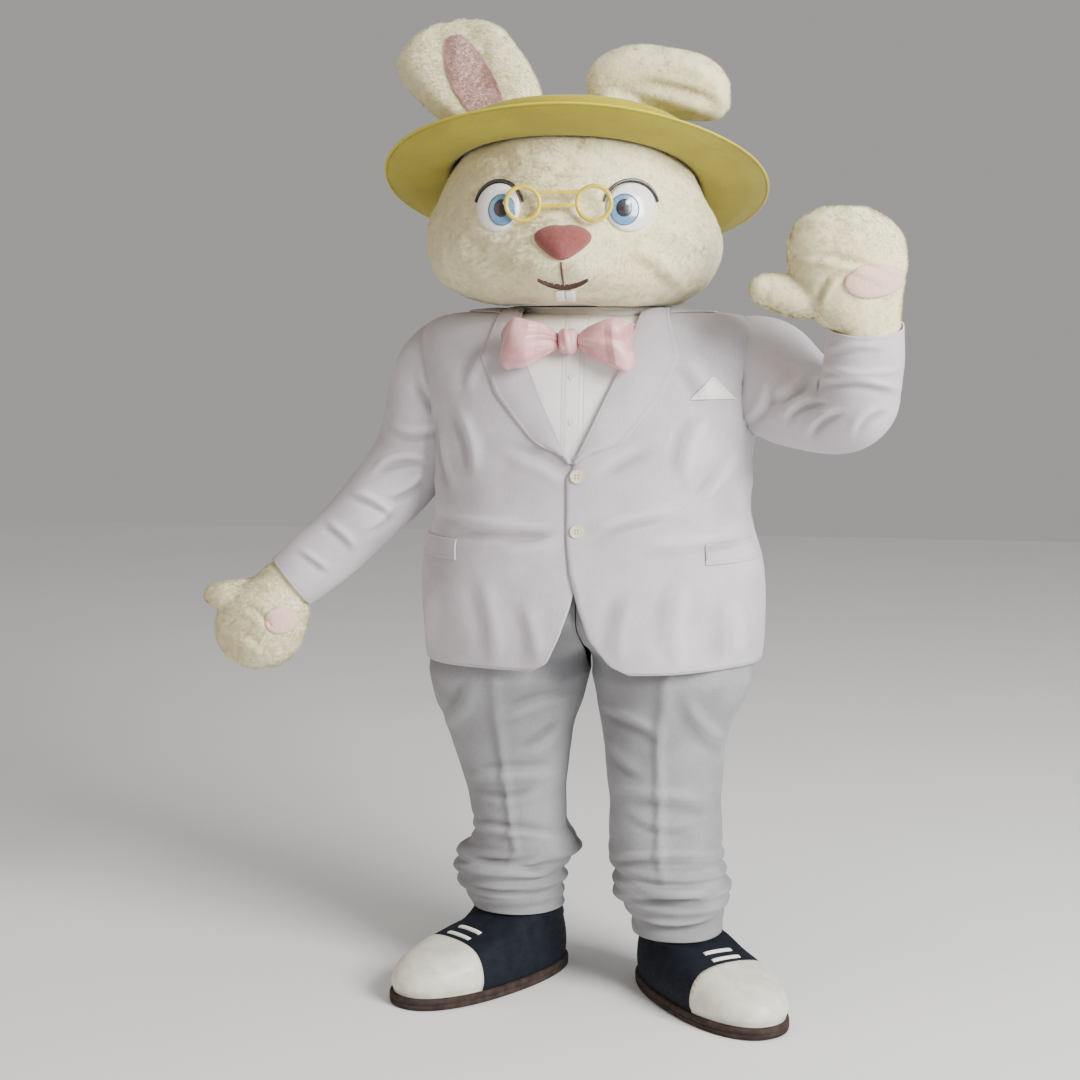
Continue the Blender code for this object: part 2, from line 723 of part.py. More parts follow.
def hat():
    """Brim and crown of stiff felt; the crown's foot stands on the brim's inner edge."""
    inner = 0.0012
    rows = ((0.0, 0.0), (0.30, -0.0015), (0.70, 0.000), (1.0, 0.006))
    top = [hat_ring(s, h, grow=inner + 0.0012) for s, h in rows]
    low = [hat_ring(s, h - FELT, grow=inner + 0.0135) for s, h in reversed(rows)]
    turned_loft("hat_brim", top + low, "felt")
    foot, crown_top = FELT / 10 + SEAM, CROWN_HEIGHT
    outside = [
        hat_ring(0.0, foot, grow=inner + FELT + 0.001),
        hat_ring(0.0, crown_top * 0.45, grow=inner + FELT + 0.001),
        hat_ring(0.0, crown_top - 0.014, grow=inner + FELT - 0.002),
        hat_ring(0.0, crown_top - 0.003, grow=-0.008),
        hat_ring(0.0, crown_top, grow=-0.022),
    ]
    inside = [
        hat_ring(0.0, crown_top - FELT, grow=-0.024),
        hat_ring(0.0, crown_top - FELT - 0.004, grow=-0.012),
        hat_ring(0.0, crown_top - 0.016, grow=inner - 0.002),
        hat_ring(0.0, crown_top * 0.45, grow=inner),
        hat_ring(0.0, foot, grow=inner + 0.0015),
    ]
    capped_shell("hat_crown", outside, inside, "felt")


def turned_loft(name, rings, slot):
    """A ring-shaped solid: the list of rings goes once round its section."""
    rings = np.asarray(rings, float)
    rows, columns = rings.shape[:2]
    faces = []
    for i in range(rows):
        for j in range(columns):
            n, k = (i + 1) % rows, (j + 1) % columns
            faces.append((i * columns + j, i * columns + k, n * columns + k, n * columns + j))
    return mesh_object(name, rings.reshape(-1, 3), faces, slot)


def capped_shell(name, outside, inside, slot):
    """A cup: outer rings from foot to top, inner rings from top to foot, each closed by a fan at the top."""
    rings = np.asarray(outside + inside, float)
    rows, columns = rings.shape[:2]
    top = len(outside) - 1
    verts = list(rings.reshape(-1, 3)) + [rings[top].mean(axis=0), rings[top + 1].mean(axis=0)]
    faces = []
    for i in range(rows):
        n = (i + 1) % rows
        for j in range(columns):
            k = (j + 1) % columns
            if i == top:
                faces.append((i * columns + j, i * columns + k, rows * columns))
                faces.append((n * columns + k, n * columns + j, rows * columns + 1))
                continue
            faces.append((i * columns + j, i * columns + k, n * columns + k, n * columns + j))
    return mesh_object(name, verts, faces, slot)


# Ears in the hat's frame: centre x, y, z, half width, half thickness
EAR_RIGHT = np.array([
    (-0.155, 0.000, 0.0905, 0.056, 0.046),
    (-0.166, 0.002, 0.122, 0.080, 0.054),
    (-0.190, 0.004, 0.165, 0.116, 0.060),
    (-0.217, 0.004, 0.213, 0.137, 0.061),
    (-0.240, 0.002, 0.260, 0.137, 0.057),
    (-0.250, 0.000, 0.305, 0.115, 0.048),
    (-0.247, 0.000, 0.341, 0.080, 0.036),
    (-0.243, 0.000, 0.359, 0.036, 0.019),
])
EAR_LEFT = np.array([
    (0.012, 0.000, 0.206, 0.030, 0.026),
    (0.032, 0.000, 0.214, 0.050, 0.048),
    (0.073, 0.000, 0.222, 0.064, 0.066),
    (0.128, -0.004, 0.221, 0.069, 0.074),
    (0.188, -0.010, 0.212, 0.067, 0.076),
    (0.240, -0.016, 0.199, 0.061, 0.070),
    (0.277, -0.020, 0.186, 0.047, 0.054),
    (0.297, -0.022, 0.178, 0.024, 0.028),
])
EAR_ROOT = np.array([
    (0.084, 0.000, 0.0905, 0.060, 0.050),
    (0.082, 0.000, 0.130, 0.061, 0.056),
    (0.080, 0.000, 0.190, 0.052, 0.054),
])


def ear_rings(table, positions, columns):
    """An upright ear's level rings, in the hat's frame: x across and y through."""
    rings = []
    for position in positions:
        cx, cy, cz, half, thick = row_at(table, position)
        ring = []
        for k in range(columns):
            turn = math.tau * k / columns
            ring.append(hat_point(
                cx + half * power_wave(math.sin(turn), 2.3),
                cy - thick * math.cos(turn) + ear_dish(math.sin(turn), math.cos(turn), position),
                cz))
        rings.append(ring)
    return rings


def ear_dish(across, facing, position):
    """The hollow of the ear's front."""
    if facing <= 0:
        return 0.0
    middle = smooth(1.15 - 1.5 * abs(across))
    return 0.016 * middle * smooth(position / 2) * smooth((7 - position) / 2)


def ears():
    rings = ear_rings(EAR_RIGHT, spaced(0, 7, 10), 16)
    loft("ear_right", rings, "plush")
    tree = hits(["ear_right"])
    grid = []
    for share in spaced(0.0, 1.0, 8):
        middle_x = -0.214 - 0.072 * share
        height = 1.695 + 0.165 * share
        half = 0.048 * math.sin(math.pi * (0.24 + 0.66 * share)) ** 0.7
        row = []
        for k in range(5):
            x = middle_x + half * (k / 2 - 1)
            spot, normal = front_hit(tree, x, height - 0.010 * (k / 2 - 1) ** 2 * (2 * share - 1))
            row.append(np.array(spot + normal * (PINK_WALL + LIE_ROUND)))
        grid.append(row)
    wall("ear_right_inner", grid, PINK_WALL, "ear_pink", axis=(-0.2, 0.4))
    flop = []
    for position in spaced(0, 7, 9):
        cx, cy, cz, high, deep = row_at(EAR_LEFT, position)
        flop.append([
            hat_point(cx, cy + deep * power_wave(math.sin(math.tau * k / 14), 2.2),
                      cz + high * power_wave(math.cos(math.tau * k / 14), 2.2))
            for k in range(14)
        ])
    pillow = loft("ear_left", flop, "plush")
    root = loft("ear_left_root", ear_rings(EAR_ROOT, (0, 1, 2), 12))
    boolean(pillow, root, "UNION")


SIDE_SEAM = math.radians(97)


def jacket():
    """Two fronts and two backs on one form, with open armholes where the sleeves pass."""
    heights = [0.645, 0.662, 0.690, 0.73, 0.80, 0.880, 0.905, 0.930, 1.008, 1.030,
               1.080, 1.15, 1.21, 1.25]
    rows = [row_of_height(TORSO, h) for h in heights] + [8.0, 8.5, 9.0, 9.6, 10.3, 11.0]
    rows[0] = 0.0
    back_rows = rows[:7:2] + rows[7:13:2] + rows[13:15] + rows[15:18:2] + rows[-1:]
    arms = arm_cutters()
    for side, sign in (("left", 1), ("right", -1)):
        grid = []
        for row in rows:
            height = row_at(TORSO, row)[0]
            edge = angle_of_x(edge_at(height, 1 if sign > 0 else 2), row)
            seam = sign * (SIDE_SEAM - SEAM / 0.3)
            line = []
            for share in with_spares([(k / 9) ** 1.15 for k in range(10)]):
                angle = edge + (seam - edge) * share
                x = torso_form(angle, row)[0]
                lift = LAP * smooth((0.085 - x) / 0.05) if sign > 0 else 0.0
                line.append(torso_point(angle, row, lift))
            grid.append(line)
        front = wall(f"jacket_front_{side}", grid, SUIT_WALL, "suit", axis=(0, 0), spare=True)
        boolean(front, arms[side], "DIFFERENCE")
        seam = sign * (SIDE_SEAM + SEAM / 0.3)
        centre = sign * (math.pi - (SEAM / 2 / TORSO[0][1]) ** (POWER / 2))
        angles = with_spares(spaced(seam, centre, 8))
        grid = [[torso_point(a, row) for a in angles] for row in back_rows]
        back = wall(f"jacket_back_{side}", grid, SUIT_WALL, "suit", axis=(0, 0), spare=True)
        boolean(back, arms[side], "DIFFERENCE")


def arm_cutters():
    """Hidden solids of the sleeves grown by the seam gap; they open the armholes."""
    cutters = {}
    for side, table in (("left", SLEEVE_LEFT), ("right", SLEEVE_RIGHT)):
        rings = limb_rings(table, spaced(0, 9, 16)[:9], 12, grow=2.5 * SEAM)
        cutters[side] = loft(f"armhole_{side}", rings)
    return cutters


def sleeves():
    """Tubes that start inside the torso's wall, trimmed there by the torso's hollow."""
    core_rows = spaced(0, 11, 24)
    angles = [math.tau * k / 32 for k in range(32)]
    core = loft("torso_hollow", [[torso_point(a, r, -3 * SUIT_WALL) for a in angles] for r in core_rows])
    for side, table in (("left", SLEEVE_LEFT), ("right", SLEEVE_RIGHT)):
        rings = limb_rings(table, spaced(0, 9, 16), 12)
        tube = wall(f"sleeve_{side}", rings, SUIT_WALL, "suit", closed=True)
        boolean(tube, core, "DIFFERENCE")


def lapels():
    """Shawl lapels that lie on the fronts, and the collar behind the neck."""
    heights = spaced(APEX_Z, 1.25, 9)
    rows = [row_of_height(TORSO, h) for h in heights] + [8.0, 8.5, 9.0, 9.7, 10.4]
    for side, sign in (("left", 1), ("right", -1)):
        grid = []
        for row in rows:
            height = row_at(TORSO, row)[0]
            inner = edge_at(height, 1 if sign > 0 else 2) - sign * 0.002
            outer = sign * edge_at(height, 3)
            line = []
            for k in range(5):
                x = inner + (outer - inner) * k / 4
                lift = LAP * smooth((0.085 - x) / 0.05) if sign > 0 else 0.0
                roll = 0.0030 * math.sin(math.pi * k / 4)
                line.append(torso_point(angle_of_x(x, row), row, lift + LIE_ROUND + SUIT_WALL + roll))
            grid.append(line)
        wall(f"lapel_{side}", grid, SUIT_WALL, "suit", axis=(0, 0))
    grid = []
    for row in (9.7, 10.05, 10.4):
        start = angle_of_x(edge_at(row_at(TORSO, row)[0], 3), row) + SEAM / 0.06
        grid.append([
            torso_point(a, row, LIE_ROUND + SUIT_WALL)
            for a in spaced(start, math.tau - start, 17)
        ])
    wall("collar_back", grid, SUIT_WALL, "suit", axis=(0, 0))


def pockets():
    for side, sign in (("left", 1), ("right", -1)):
        grid = []
        for height in (0.846, 0.857, 0.868, 0.884):
            row = row_of_height(TORSO, height)
            start = angle_of_x(0.236, row)
            grid.append([
                torso_point(sign * a, row, LIE + SUIT_WALL)
                for a in spaced(start, start + 0.62, 7)
            ])
        wall(f"pocket_flap_{side}", grid, SUIT_WALL, "suit", axis=(0, 0))
    grid = []
    for share in (0.0, 0.35, 0.7, 1.0):
        height = 1.154 + 0.042 * share
        row = row_of_height(TORSO, height)
        half = 0.038 * (1 - share) + 0.002
        grid.append([
            torso_point(angle_of_x(0.246 + d * half, row), row, LIE_ROUND + SHIRT_WALL)
            for d in (-1.0, -0.4, 0.3, 1.0)
        ])
    wall("pocket_square", grid, SHIRT_WALL, "shirt", axis=(0, 0))


def buttons():
    tree = hits(["jacket_front_left"])
    for name, height in zip(("button_upper", "button_lower"), BUTTON_HEIGHTS):
        patch(name, tree, (0.0015, height), oval(0.0125, 0.0125), ((0.55, 0.0028), (1.0, 0.0040)),
              "button_yellow", 14)


def shirt():
    """The shirt front behind the opening, its standing collar and two small buttons."""
    heights = (0.965, 0.99, 1.03, 1.08, 1.13, 1.18, 1.225)
    rows = [row_of_height(TORSO, h) for h in heights] + [8.4, 9.0, 9.8, 10.6]
    grid = []
    for row in rows:
        height = row_at(TORSO, row)[0]
        half = float(np.interp(height, (0.965, 1.10, 1.25, 1.30), (0.055, 0.085, 0.132, 0.128)))
        line = []
        for k in range(7):
            x = half * (k / 3 - 1) - 0.006
            under = SUIT_WALL + LIE_ROUND * (1.7 + 2.2 * smooth(row - 7.0))
            line.append(torso_point(angle_of_x(x, row), row, -under))
        grid.append(line)
    wall("shirt_front", grid, SHIRT_WALL, "shirt", axis=(0, 0))
    stand = []
    for height in (HEAD[0][2] - 0.024, HEAD[0][2] - 0.012, HEAD[0][2] - SEAM):
        ring = []
        for k in range(28):
            x, y, _ = torso_form(math.tau * k / 28, 11.0)
            inward = 1 - STAND_INSET / math.hypot(x, y)
            ring.append((x * inward, y * inward, height))
        stand.append(ring)
    wall("shirt_collar", stand, 0.002, "shirt", closed=True)
    tree = hits(["shirt_front"])
    for k, (x, z) in enumerate(((-0.012, 1.196), (-0.010, 1.112))):
        patch(f"shirt_button_{k + 1}", tree, (x, z), oval(0.0055, 0.0055), DISC, "tooth", 10,
              gap=GAPS["shirt_button"])


# Bow tie wings from the knot outwards: distance, middle height, half height, half depth
BOW_WING = np.array([
    (0.019, 1.262, 0.014, 0.010),
    (0.040, 1.263, 0.028, 0.016),
    (0.065, 1.262, 0.040, 0.020),
    (0.090, 1.258, 0.047, 0.020),
    (0.110, 1.255, 0.046, 0.015),
    (0.120, 1.254, 0.038, 0.008),
])
BOW_X = -0.018


def bow_tie():
    tree = hits(["shirt_front", "jacket_front_left", "jacket_front_right", "lapel_left", "lapel_right",
                 "shirt_collar"])
    knot_y = front_least(tree, BOW_X, 0.012, 1.262, 0.018) - KNOT_FORWARD
    rings = []
    for share in (-1.0, -0.86, -0.45, 0.0, 0.45, 0.86, 1.0):
        half = 0.022 * (1 - 0.55 * abs(share) ** 3)
        rings.append([
            (BOW_X + half * 0.86 * math.cos(math.tau * k / 12), knot_y + 0.021 * (1 - 0.5 * abs(share) ** 4)
             * math.sin(math.tau * k / 12), 1.262 + 0.022 * share)
            for k in range(12)
        ])
    loft("bow_knot", rings, "satin")
    for side, sign in (("left", 1), ("right", -1)):
        rings = []
        for position in spaced(0, 5, 8):
            away, middle, high, deep = row_at(BOW_WING, position)
            x = BOW_X + sign * (away + SEAM)
            y = front_least(tree, x, 0.006, middle, high) - deep * 1.18 - 0.0006
            y = min(y, knot_y + 0.004)
            ring = []
            for k in range(12):
                turn = math.tau * k / 12
                pleat = 1 + 0.16 * math.cos(3 * turn + position)
                ring.append((x, y - deep * pleat * math.sin(turn), middle + high * math.cos(turn)))
            rings.append(ring)
        loft(f"bow_wing_{side}", rings, "satin")


def front_least(tree, x, half_x, z, half_z):
    """The least y of the surfaces in a window round a point, so that a piece before it stays clear."""
    found = []
    for a in (-1, -0.5, 0, 0.5, 1):
        for b in (-1, -0.75, -0.5, -0.25, 0, 0.25, 0.5, 0.75, 1):
            spot, _ = front_hit(tree, x + a * half_x, z + b * half_z)
            found.append(spot.y)
    return min(found)


def hip_point(turn, height, sign):
    """The trousers' hip: turn 0 at the centre front, pi at the centre back, inside the jacket's wall."""
    row = row_of_height(TORSO, height)
    inside = 0.014 - 0.0094 * smooth((height - 0.78) / 0.08)
    across = torso_form(sign * turn, row)
    length = math.hypot(across[0], across[1])
    return across * (1 - (SUIT_WALL + inside) / length * np.array((1.0, 1.0, 0.0)))


def leg_point(turn, height, table, sign):
    """The leg's own section: turn 0 faces front, 90 degrees outwards and -90 inwards."""
    row = row_of_height(table, min(height, table[-1][0]))
    _, inner, outer, front, back = row_at(table, row)
    middle_x, half_x = (inner + outer) / 2, (outer - inner) / 2
    middle_y, half_y = (front + back) / 2, (back - front) / 2
    crease = CREASE * math.exp(-((math.remainder(turn, math.tau) / 0.16) ** 2))
    crease += CREASE * math.exp(-((math.remainder(turn - math.pi, math.tau) / 0.16) ** 2))
    crease *= smooth((height - 0.20) / 0.10)
    x = middle_x + half_x * power_wave(math.sin(turn), 2.1)
    y = middle_y - half_y * power_wave(math.cos(turn), 2.1) - crease * math.cos(turn)
    return np.array((sign * max(x, 0.0002), y, height))


def leg_ring(height, side, columns=24):
    """The trouser leg's own corners at a height, with one more point midway along each of its sides."""
    table, sign = (LEG_LEFT, 1.0) if side == "left" else (LEG_RIGHT, -1.0)
    corners = []
    for k in range(columns // 2):
        turn = -math.pi / 2 + math.tau * k / (columns // 2)
        point = leg_point(turn, height, table, sign)
        out = leg_bunch(turn, height, side)
        corners.append(point + np.array((sign * out * math.sin(turn), -out * math.cos(turn), 0.0)))
    ring = []
    for k, corner in enumerate(corners):
        ring += [corner, (corner + corners[(k + 1) % len(corners)]) / 2]
    return ring


def leg_bunch(turn, height, side):
    """Folds that gather over the shoe, uneven from leg to leg, as a distance outwards."""
    lean = 0.35 if side == "left" else -0.55
    low = math.exp(-(((height - 0.215 - 0.012 * math.sin(turn + lean)) / 0.055) ** 2))
    return 0.0055 * low * math.sin((height + 0.006 * math.sin(turn + lean)) * 210)


def trousers():
    hem = {"left": LEG_LEFT, "right": LEG_RIGHT}
    for side, sign in (("left", 1), ("right", -1)):
        table = hem[side]
        low = table[0][0]
        heights = [low, low + 0.016, low + 0.032, low + 0.048, low + 0.064, low + 0.080, low + 0.096,
                   low + 0.112, low + 0.135, 0.32, 0.42, 0.52, CROTCH_Z - 0.002, 0.645, 0.685, 0.742, 0.84,
                   WAIST_Z]
        for part in ("front", "back"):
            grid = []
            for height in heights:
                climb = smooth((height - CROTCH_Z) / RISE)
                line = []
                for share in with_spares([k / 6 for k in range(7)]):
                    if part == "front":
                        leg_turn = -math.pi / 2 + math.pi * share
                        hip_turn = math.pi / 2 * share
                    else:
                        leg_turn = 3 * math.pi / 2 - math.pi * share
                        hip_turn = math.pi - math.pi / 2 * share
                    low_point = leg_point(leg_turn, height, table, sign)
                    high_point = hip_point(hip_turn, height, sign) if climb > 0 else low_point
                    point = low_point * (1 - climb) + high_point * climb
                    out = leg_bunch(leg_turn, height, side)
                    point[0] += sign * out * math.sin(leg_turn)
                    point[1] -= out * math.cos(leg_turn)
                    line.append(point)
                shrink_seam(line, sign)
                grid.append(line)
            middle = sign * (table[5][1] + table[5][2]) / 2
            wall(f"trouser_{side}_{part}", grid, SUIT_WALL, "trouser", axis=(middle, -0.03), spare=True)


def shrink_seam(line, sign):
    """Ends of a row pulled in by the seam gap, so that two panels meet without touching."""
    for end, beside in ((1, 2), (-2, -3)):
        way = line[beside] - line[end]
        line[end] = line[end] + way / max(np.linalg.norm(way), 1e-9) * SEAM
    for point in line[1:-1]:
        if abs(point[0]) < RISE_GAP:
            point[0] = sign * RISE_GAP


def shoe_ring(row, heading, columns=24):
    """A level ring of the shoe in its own frame: x along the shoe, y towards its outside.

    Its points start on the leg's inner side, so that they face the points of leg_ring.
    """
    height, front, back, half = row
    middle, reach = (front + back) / 2, (front - back) / 2
    ring = []
    for k in range(columns):
        turn = -math.pi / 2 - math.radians(heading) + math.tau * k / columns
        wide = half * (1 + 0.10 * math.cos(turn))
        ring.append(Vector((
            middle + reach * power_wave(math.cos(turn), 2.2),
            wide * power_wave(math.sin(turn), 2.2),
            height)))
    return ring


def shoe_place(side):
    heel, heading, sign = SHOES[side]
    turn = -math.pi / 2 + sign * math.radians(heading)
    return Matrix.Translation(heel) @ Matrix.Rotation(turn, 4, "Z") @ Matrix.Diagonal((1, sign, 1, 1))


def shoes():
    legs = {"left": LEG_LEFT, "right": LEG_RIGHT}
    for side in ("left", "right"):
        place = shoe_place(side)
        _, heading, sign = SHOES[side]
        base = UPPER[0]
        rows = [(0.0, base[1] + 0.002, base[2] - 0.002, base[3] + 0.001),
                (SOLE_HEIGHT * 0.5, base[1] + 0.008, base[2] - 0.006, base[3] + 0.006),
                (SOLE_HEIGHT, base[1] + 0.006, base[2] - 0.005, base[3] + 0.005)]
        rings = [[np.array(place @ p) for p in shoe_ring(r, heading)] for r in rows]
        loft(f"shoe_{side}_sole", rings, "sole_dark")
        rings = [[np.array(place @ p) for p in shoe_ring(row, heading)] for row in UPPER]
        hem = legs[side][0][0]
        for rise, tight in ((-0.002, 0.0050), (0.014, 0.0005)):
            outline = leg_ring(max(hem + rise, hem), side)
            middle = sum(outline) / len(outline)
            ring = []
            for point in outline:
                way = (point - middle) / np.linalg.norm(point - middle)
                point = point - way * (SUIT_WALL * 1.15 + tight)
                point[2] = hem + rise
                ring.append(point)
            rings.append(ring)
        quarter = wall(f"shoe_{side}_quarter", rings, SHOE_WALL, "shoe_navy", closed=True)
        cap = wall(f"shoe_{side}_toe_cap", rings, SHOE_WALL, "shoe_cream", closed=True)
        cutter_front = box(f"cap_zone_{side}", (CAP_LINE + 0.30 - SEAM / 2, 0, 0.1), (0.30, 0.2, 0.3))
        cutter_back = box(f"quarter_zone_{side}", (CAP_LINE + 0.30 + SEAM / 2, 0, 0.1), (0.30, 0.2, 0.3))
        for cutter in (cutter_front, cutter_back):
            cutter.data.transform(place)
            if sign < 0:
                cutter.data.flip_normals()
        boolean(quarter, cutter_front, "DIFFERENCE")
        boolean(cap, cutter_back, "INTERSECT")
        laces(side, place)


def laces(side, place):
    """Two lace bars that lie across each shoe's tongue."""
    tree = hits([f"shoe_{side}_quarter"])
    for number, along in enumerate((0.246, 0.270)):
        rings = []
        for k in range(7):
            across = 0.030 * (k / 3 - 1)
            low, high = [], []
            for edge in (-0.0048, 0.0, 0.0048):
                spot = place @ Vector((along + edge + 0.004 * number, across, 0.4))
                hit, normal, _, _ = tree.ray_cast(spot, Vector((0, 0, -1)))
                normal = normal if normal.z > 0 else -normal
                low.append(np.array(hit + normal * LIE))
                high.append(np.array(hit + normal * (LIE + 0.0035)))
            rings.append([*low, *reversed(high)])
        loft(f"shoe_{side}_lace_{number + 1}", rings, "lace")


def mitts():
    tables = {"left": (MITT_LEFT, THUMB_LEFT), "right": (MITT_RIGHT, THUMB_RIGHT)}
    for side, (hand_table, thumb_table) in tables.items():
        count = len(hand_table) - 1
        ends = len(thumb_table) - 1
        hand = loft(f"glove_{side}", limb_rings(hand_table, [*range(count), count - 0.4, count], 12), "plush")
        thumb = loft(f"thumb_{side}", limb_rings(thumb_table, spaced(0, ends, 6), 10))
        inner_table = hand_table.copy()
        inner_table[0][:3] += (hand_table[0][:3] - hand_table[1][:3]) * 0.5
        rings = limb_rings(inner_table, spaced(0, count - 0.6, 8), 10, grow=-MITT_WALL)
        hollow = loft(f"hand_hollow_{side}", rings)
        rings = limb_rings(thumb_table, spaced(0, ends - 0.9, 4), 8, grow=-MITT_WALL)
        bore = loft(f"thumb_hollow_{side}", rings)
        boolean(hand, thumb, "UNION")
        boolean(hand, hollow, "DIFFERENCE")
        boolean(hand, bore, "DIFFERENCE")
    pad = ((0.4, 0.006), (0.75, 0.005), (1.0, 0.001))
    palm = hits(["glove_left"])
    patch("palm_pad_left", palm, (0.540, 1.374), oval(0.050, 0.029, 0.12), pad, "pad_pink", 12,
          gap=GAPS["palm_pad_left"])
    palm = hits(["glove_right"])
    patch("palm_pad_right", palm, (-0.590, 0.716), oval(0.028, 0.025), pad, "pad_pink", 12,
          gap=GAPS["palm_pad_right"])


def main():
    clear_scene()
    head_panels()
    face_features()
    glasses()
    hat()
    ears()
    jacket()
    sleeves()
    lapels()
    pockets()
    buttons()
    shirt()
    bow_tie()
    trousers()
    shoes()
    mitts()
    bpy.context.view_layer.update()


main()
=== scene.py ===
"""Visual model of a rabbit mascot costume: plush head, felt hat, glasses, suit, bow tie, gloves and shoes.

Metres, +Z up, the front faces -Y and +X is the wearer's left. Table heights are above the floor;
every finished mesh is lowered by NECK_Z, so that the origin is at the base of the neck.
"""

import math

import bmesh
import bpy
import numpy as np
from bpy.props import BoolProperty, FloatProperty, PointerProperty
from mathutils import Matrix, Vector
from mathutils.bvhtree import BVHTree


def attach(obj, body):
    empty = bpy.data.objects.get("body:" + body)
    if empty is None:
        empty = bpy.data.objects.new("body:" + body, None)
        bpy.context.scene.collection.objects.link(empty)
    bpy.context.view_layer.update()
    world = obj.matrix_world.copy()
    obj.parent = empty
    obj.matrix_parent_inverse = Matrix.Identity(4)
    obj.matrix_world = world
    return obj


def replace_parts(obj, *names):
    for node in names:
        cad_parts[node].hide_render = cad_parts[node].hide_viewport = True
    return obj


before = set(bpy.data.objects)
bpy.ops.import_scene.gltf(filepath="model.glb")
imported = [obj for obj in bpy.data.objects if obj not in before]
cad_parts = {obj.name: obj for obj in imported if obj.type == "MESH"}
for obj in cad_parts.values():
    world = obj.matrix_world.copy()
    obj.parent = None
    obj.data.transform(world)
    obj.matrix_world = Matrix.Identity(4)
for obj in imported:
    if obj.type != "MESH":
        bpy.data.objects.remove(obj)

bl_info = {
    "name": "Rabbit mascot costume",
    "version": (1, 0, 0),
    "blender": (4, 2, 0),
    "location": "View3D > Sidebar > Costume",
    "description": "Builds the costume's cloth, plush, felt and small parts on their solids",
    "category": "Object",
}


# Driving sizes
NECK_Z = 1.30  # height of the world origin above the floor
SEAM = 0.0003  # gap between two pieces that are sewn together
LIE = 0.0007  # gap under a piece that lies on a panel
LIE_ROUND = 0.0014  # the same on strongly rounded places
SUIT_WALL = 0.002  # suit cloth with its lining
SHIRT_WALL = 0.0015
PLUSH_WALL = 0.012  # foam and plush of the head
MITT_WALL = 0.008  # padded plush of the gloves
SHOE_WALL = 0.004
FELT = 0.003
PINK_WALL = 0.0022  # the short plush of the inner ear
LAP = SUIT_WALL + 0.0012  # how far the overlapping front is lifted over the other
POWER = 2.35  # squareness of the torso's sections, 2 is an ellipse
FRONTWARD = np.array((0.0, -1.0, 0.0))

# Jacket form: height, half width, depth to the front, depth to the back
TORSO = np.array([
    (0.645, 0.327, 0.233, 0.213),
    (0.720, 0.335, 0.243, 0.220),
    (0.820, 0.334, 0.240, 0.215),
    (0.900, 0.315, 0.226, 0.202),
    (0.970, 0.306, 0.215, 0.192),
    (1.050, 0.313, 0.215, 0.194),
    (1.130, 0.325, 0.212, 0.198),
    (1.212, 0.336, 0.199, 0.190),
    (1.273, 0.334, 0.177, 0.168),
    (1.303, 0.298, 0.152, 0.142),
    (1.314, 0.218, 0.130, 0.122),
    (1.319, 0.155, 0.114, 0.110),
])

# Front edges and shawl lapels: height, wearer's left edge, right edge (x), lapel's outer edge (|x|)
FRONT_EDGES = np.array([
    (0.645, 0.100, -0.084, 0.100),
    (0.662, 0.064, -0.054, 0.100),
    (0.712, 0.026, -0.030, 0.060),
    (0.770, 0.006, -0.009, 0.050),
    (0.830, -0.010, 0.006, 0.040),
    (0.895, -0.019, 0.012, 0.030),
    (1.008, -0.020, 0.012, 0.024),
    (1.030, -0.006, -0.010, 0.030),
    (1.085, 0.021, -0.037, 0.094),
    (1.165, 0.058, -0.074, 0.158),
    (1.236, 0.092, -0.104, 0.186),
    (1.319, 0.112, -0.120, 0.158),
])
APEX_Z = 1.036  # where the lapels end, just over the upper button
BUTTON_HEIGHTS = (1.012, 0.910)
STAND_INSET = 0.0014  # the shirt collar's distance inside the jacket's neckline

KNOT_FORWARD = 0.0174  # the bow tie's knot before the surface behind it

# Sleeves, from inside the shoulder to the wrist: centre x, y, z, half size upwards, half size sideways
SLEEVE_LEFT = np.array([
    (0.200, 0.006, 1.190, 0.084, 0.086),
    (0.262, 0.004, 1.199, 0.098, 0.094),
    (0.326, -0.013, 1.195, 0.111, 0.098),
    (0.382, -0.056, 1.161, 0.100, 0.091),
    (0.436, -0.115, 1.132, 0.078, 0.082),
    (0.481, -0.160, 1.133, 0.076, 0.078),
    (0.510, -0.190, 1.153, 0.077, 0.078),
    (0.520, -0.210, 1.195, 0.074, 0.077),
    (0.525, -0.226, 1.245, 0.072, 0.073),
    (0.526, -0.241, 1.295, 0.069, 0.069),
])
SLEEVE_RIGHT = np.array([
    (-0.215, 0.006, 1.224, 0.082, 0.086),
    (-0.270, 0.005, 1.200, 0.110, 0.097),
    (-0.301, 0.003, 1.146, 0.108, 0.098),
    (-0.326, 0.000, 1.084, 0.095, 0.093),
    (-0.360, -0.006, 1.023, 0.082, 0.085),
    (-0.402, -0.018, 0.965, 0.076, 0.079),
    (-0.452, -0.034, 0.910, 0.070, 0.074),
    (-0.503, -0.052, 0.855, 0.065, 0.070),
    (-0.548, -0.067, 0.815, 0.062, 0.066),
    (-0.588, -0.080, 0.781, 0.060, 0.063),
])

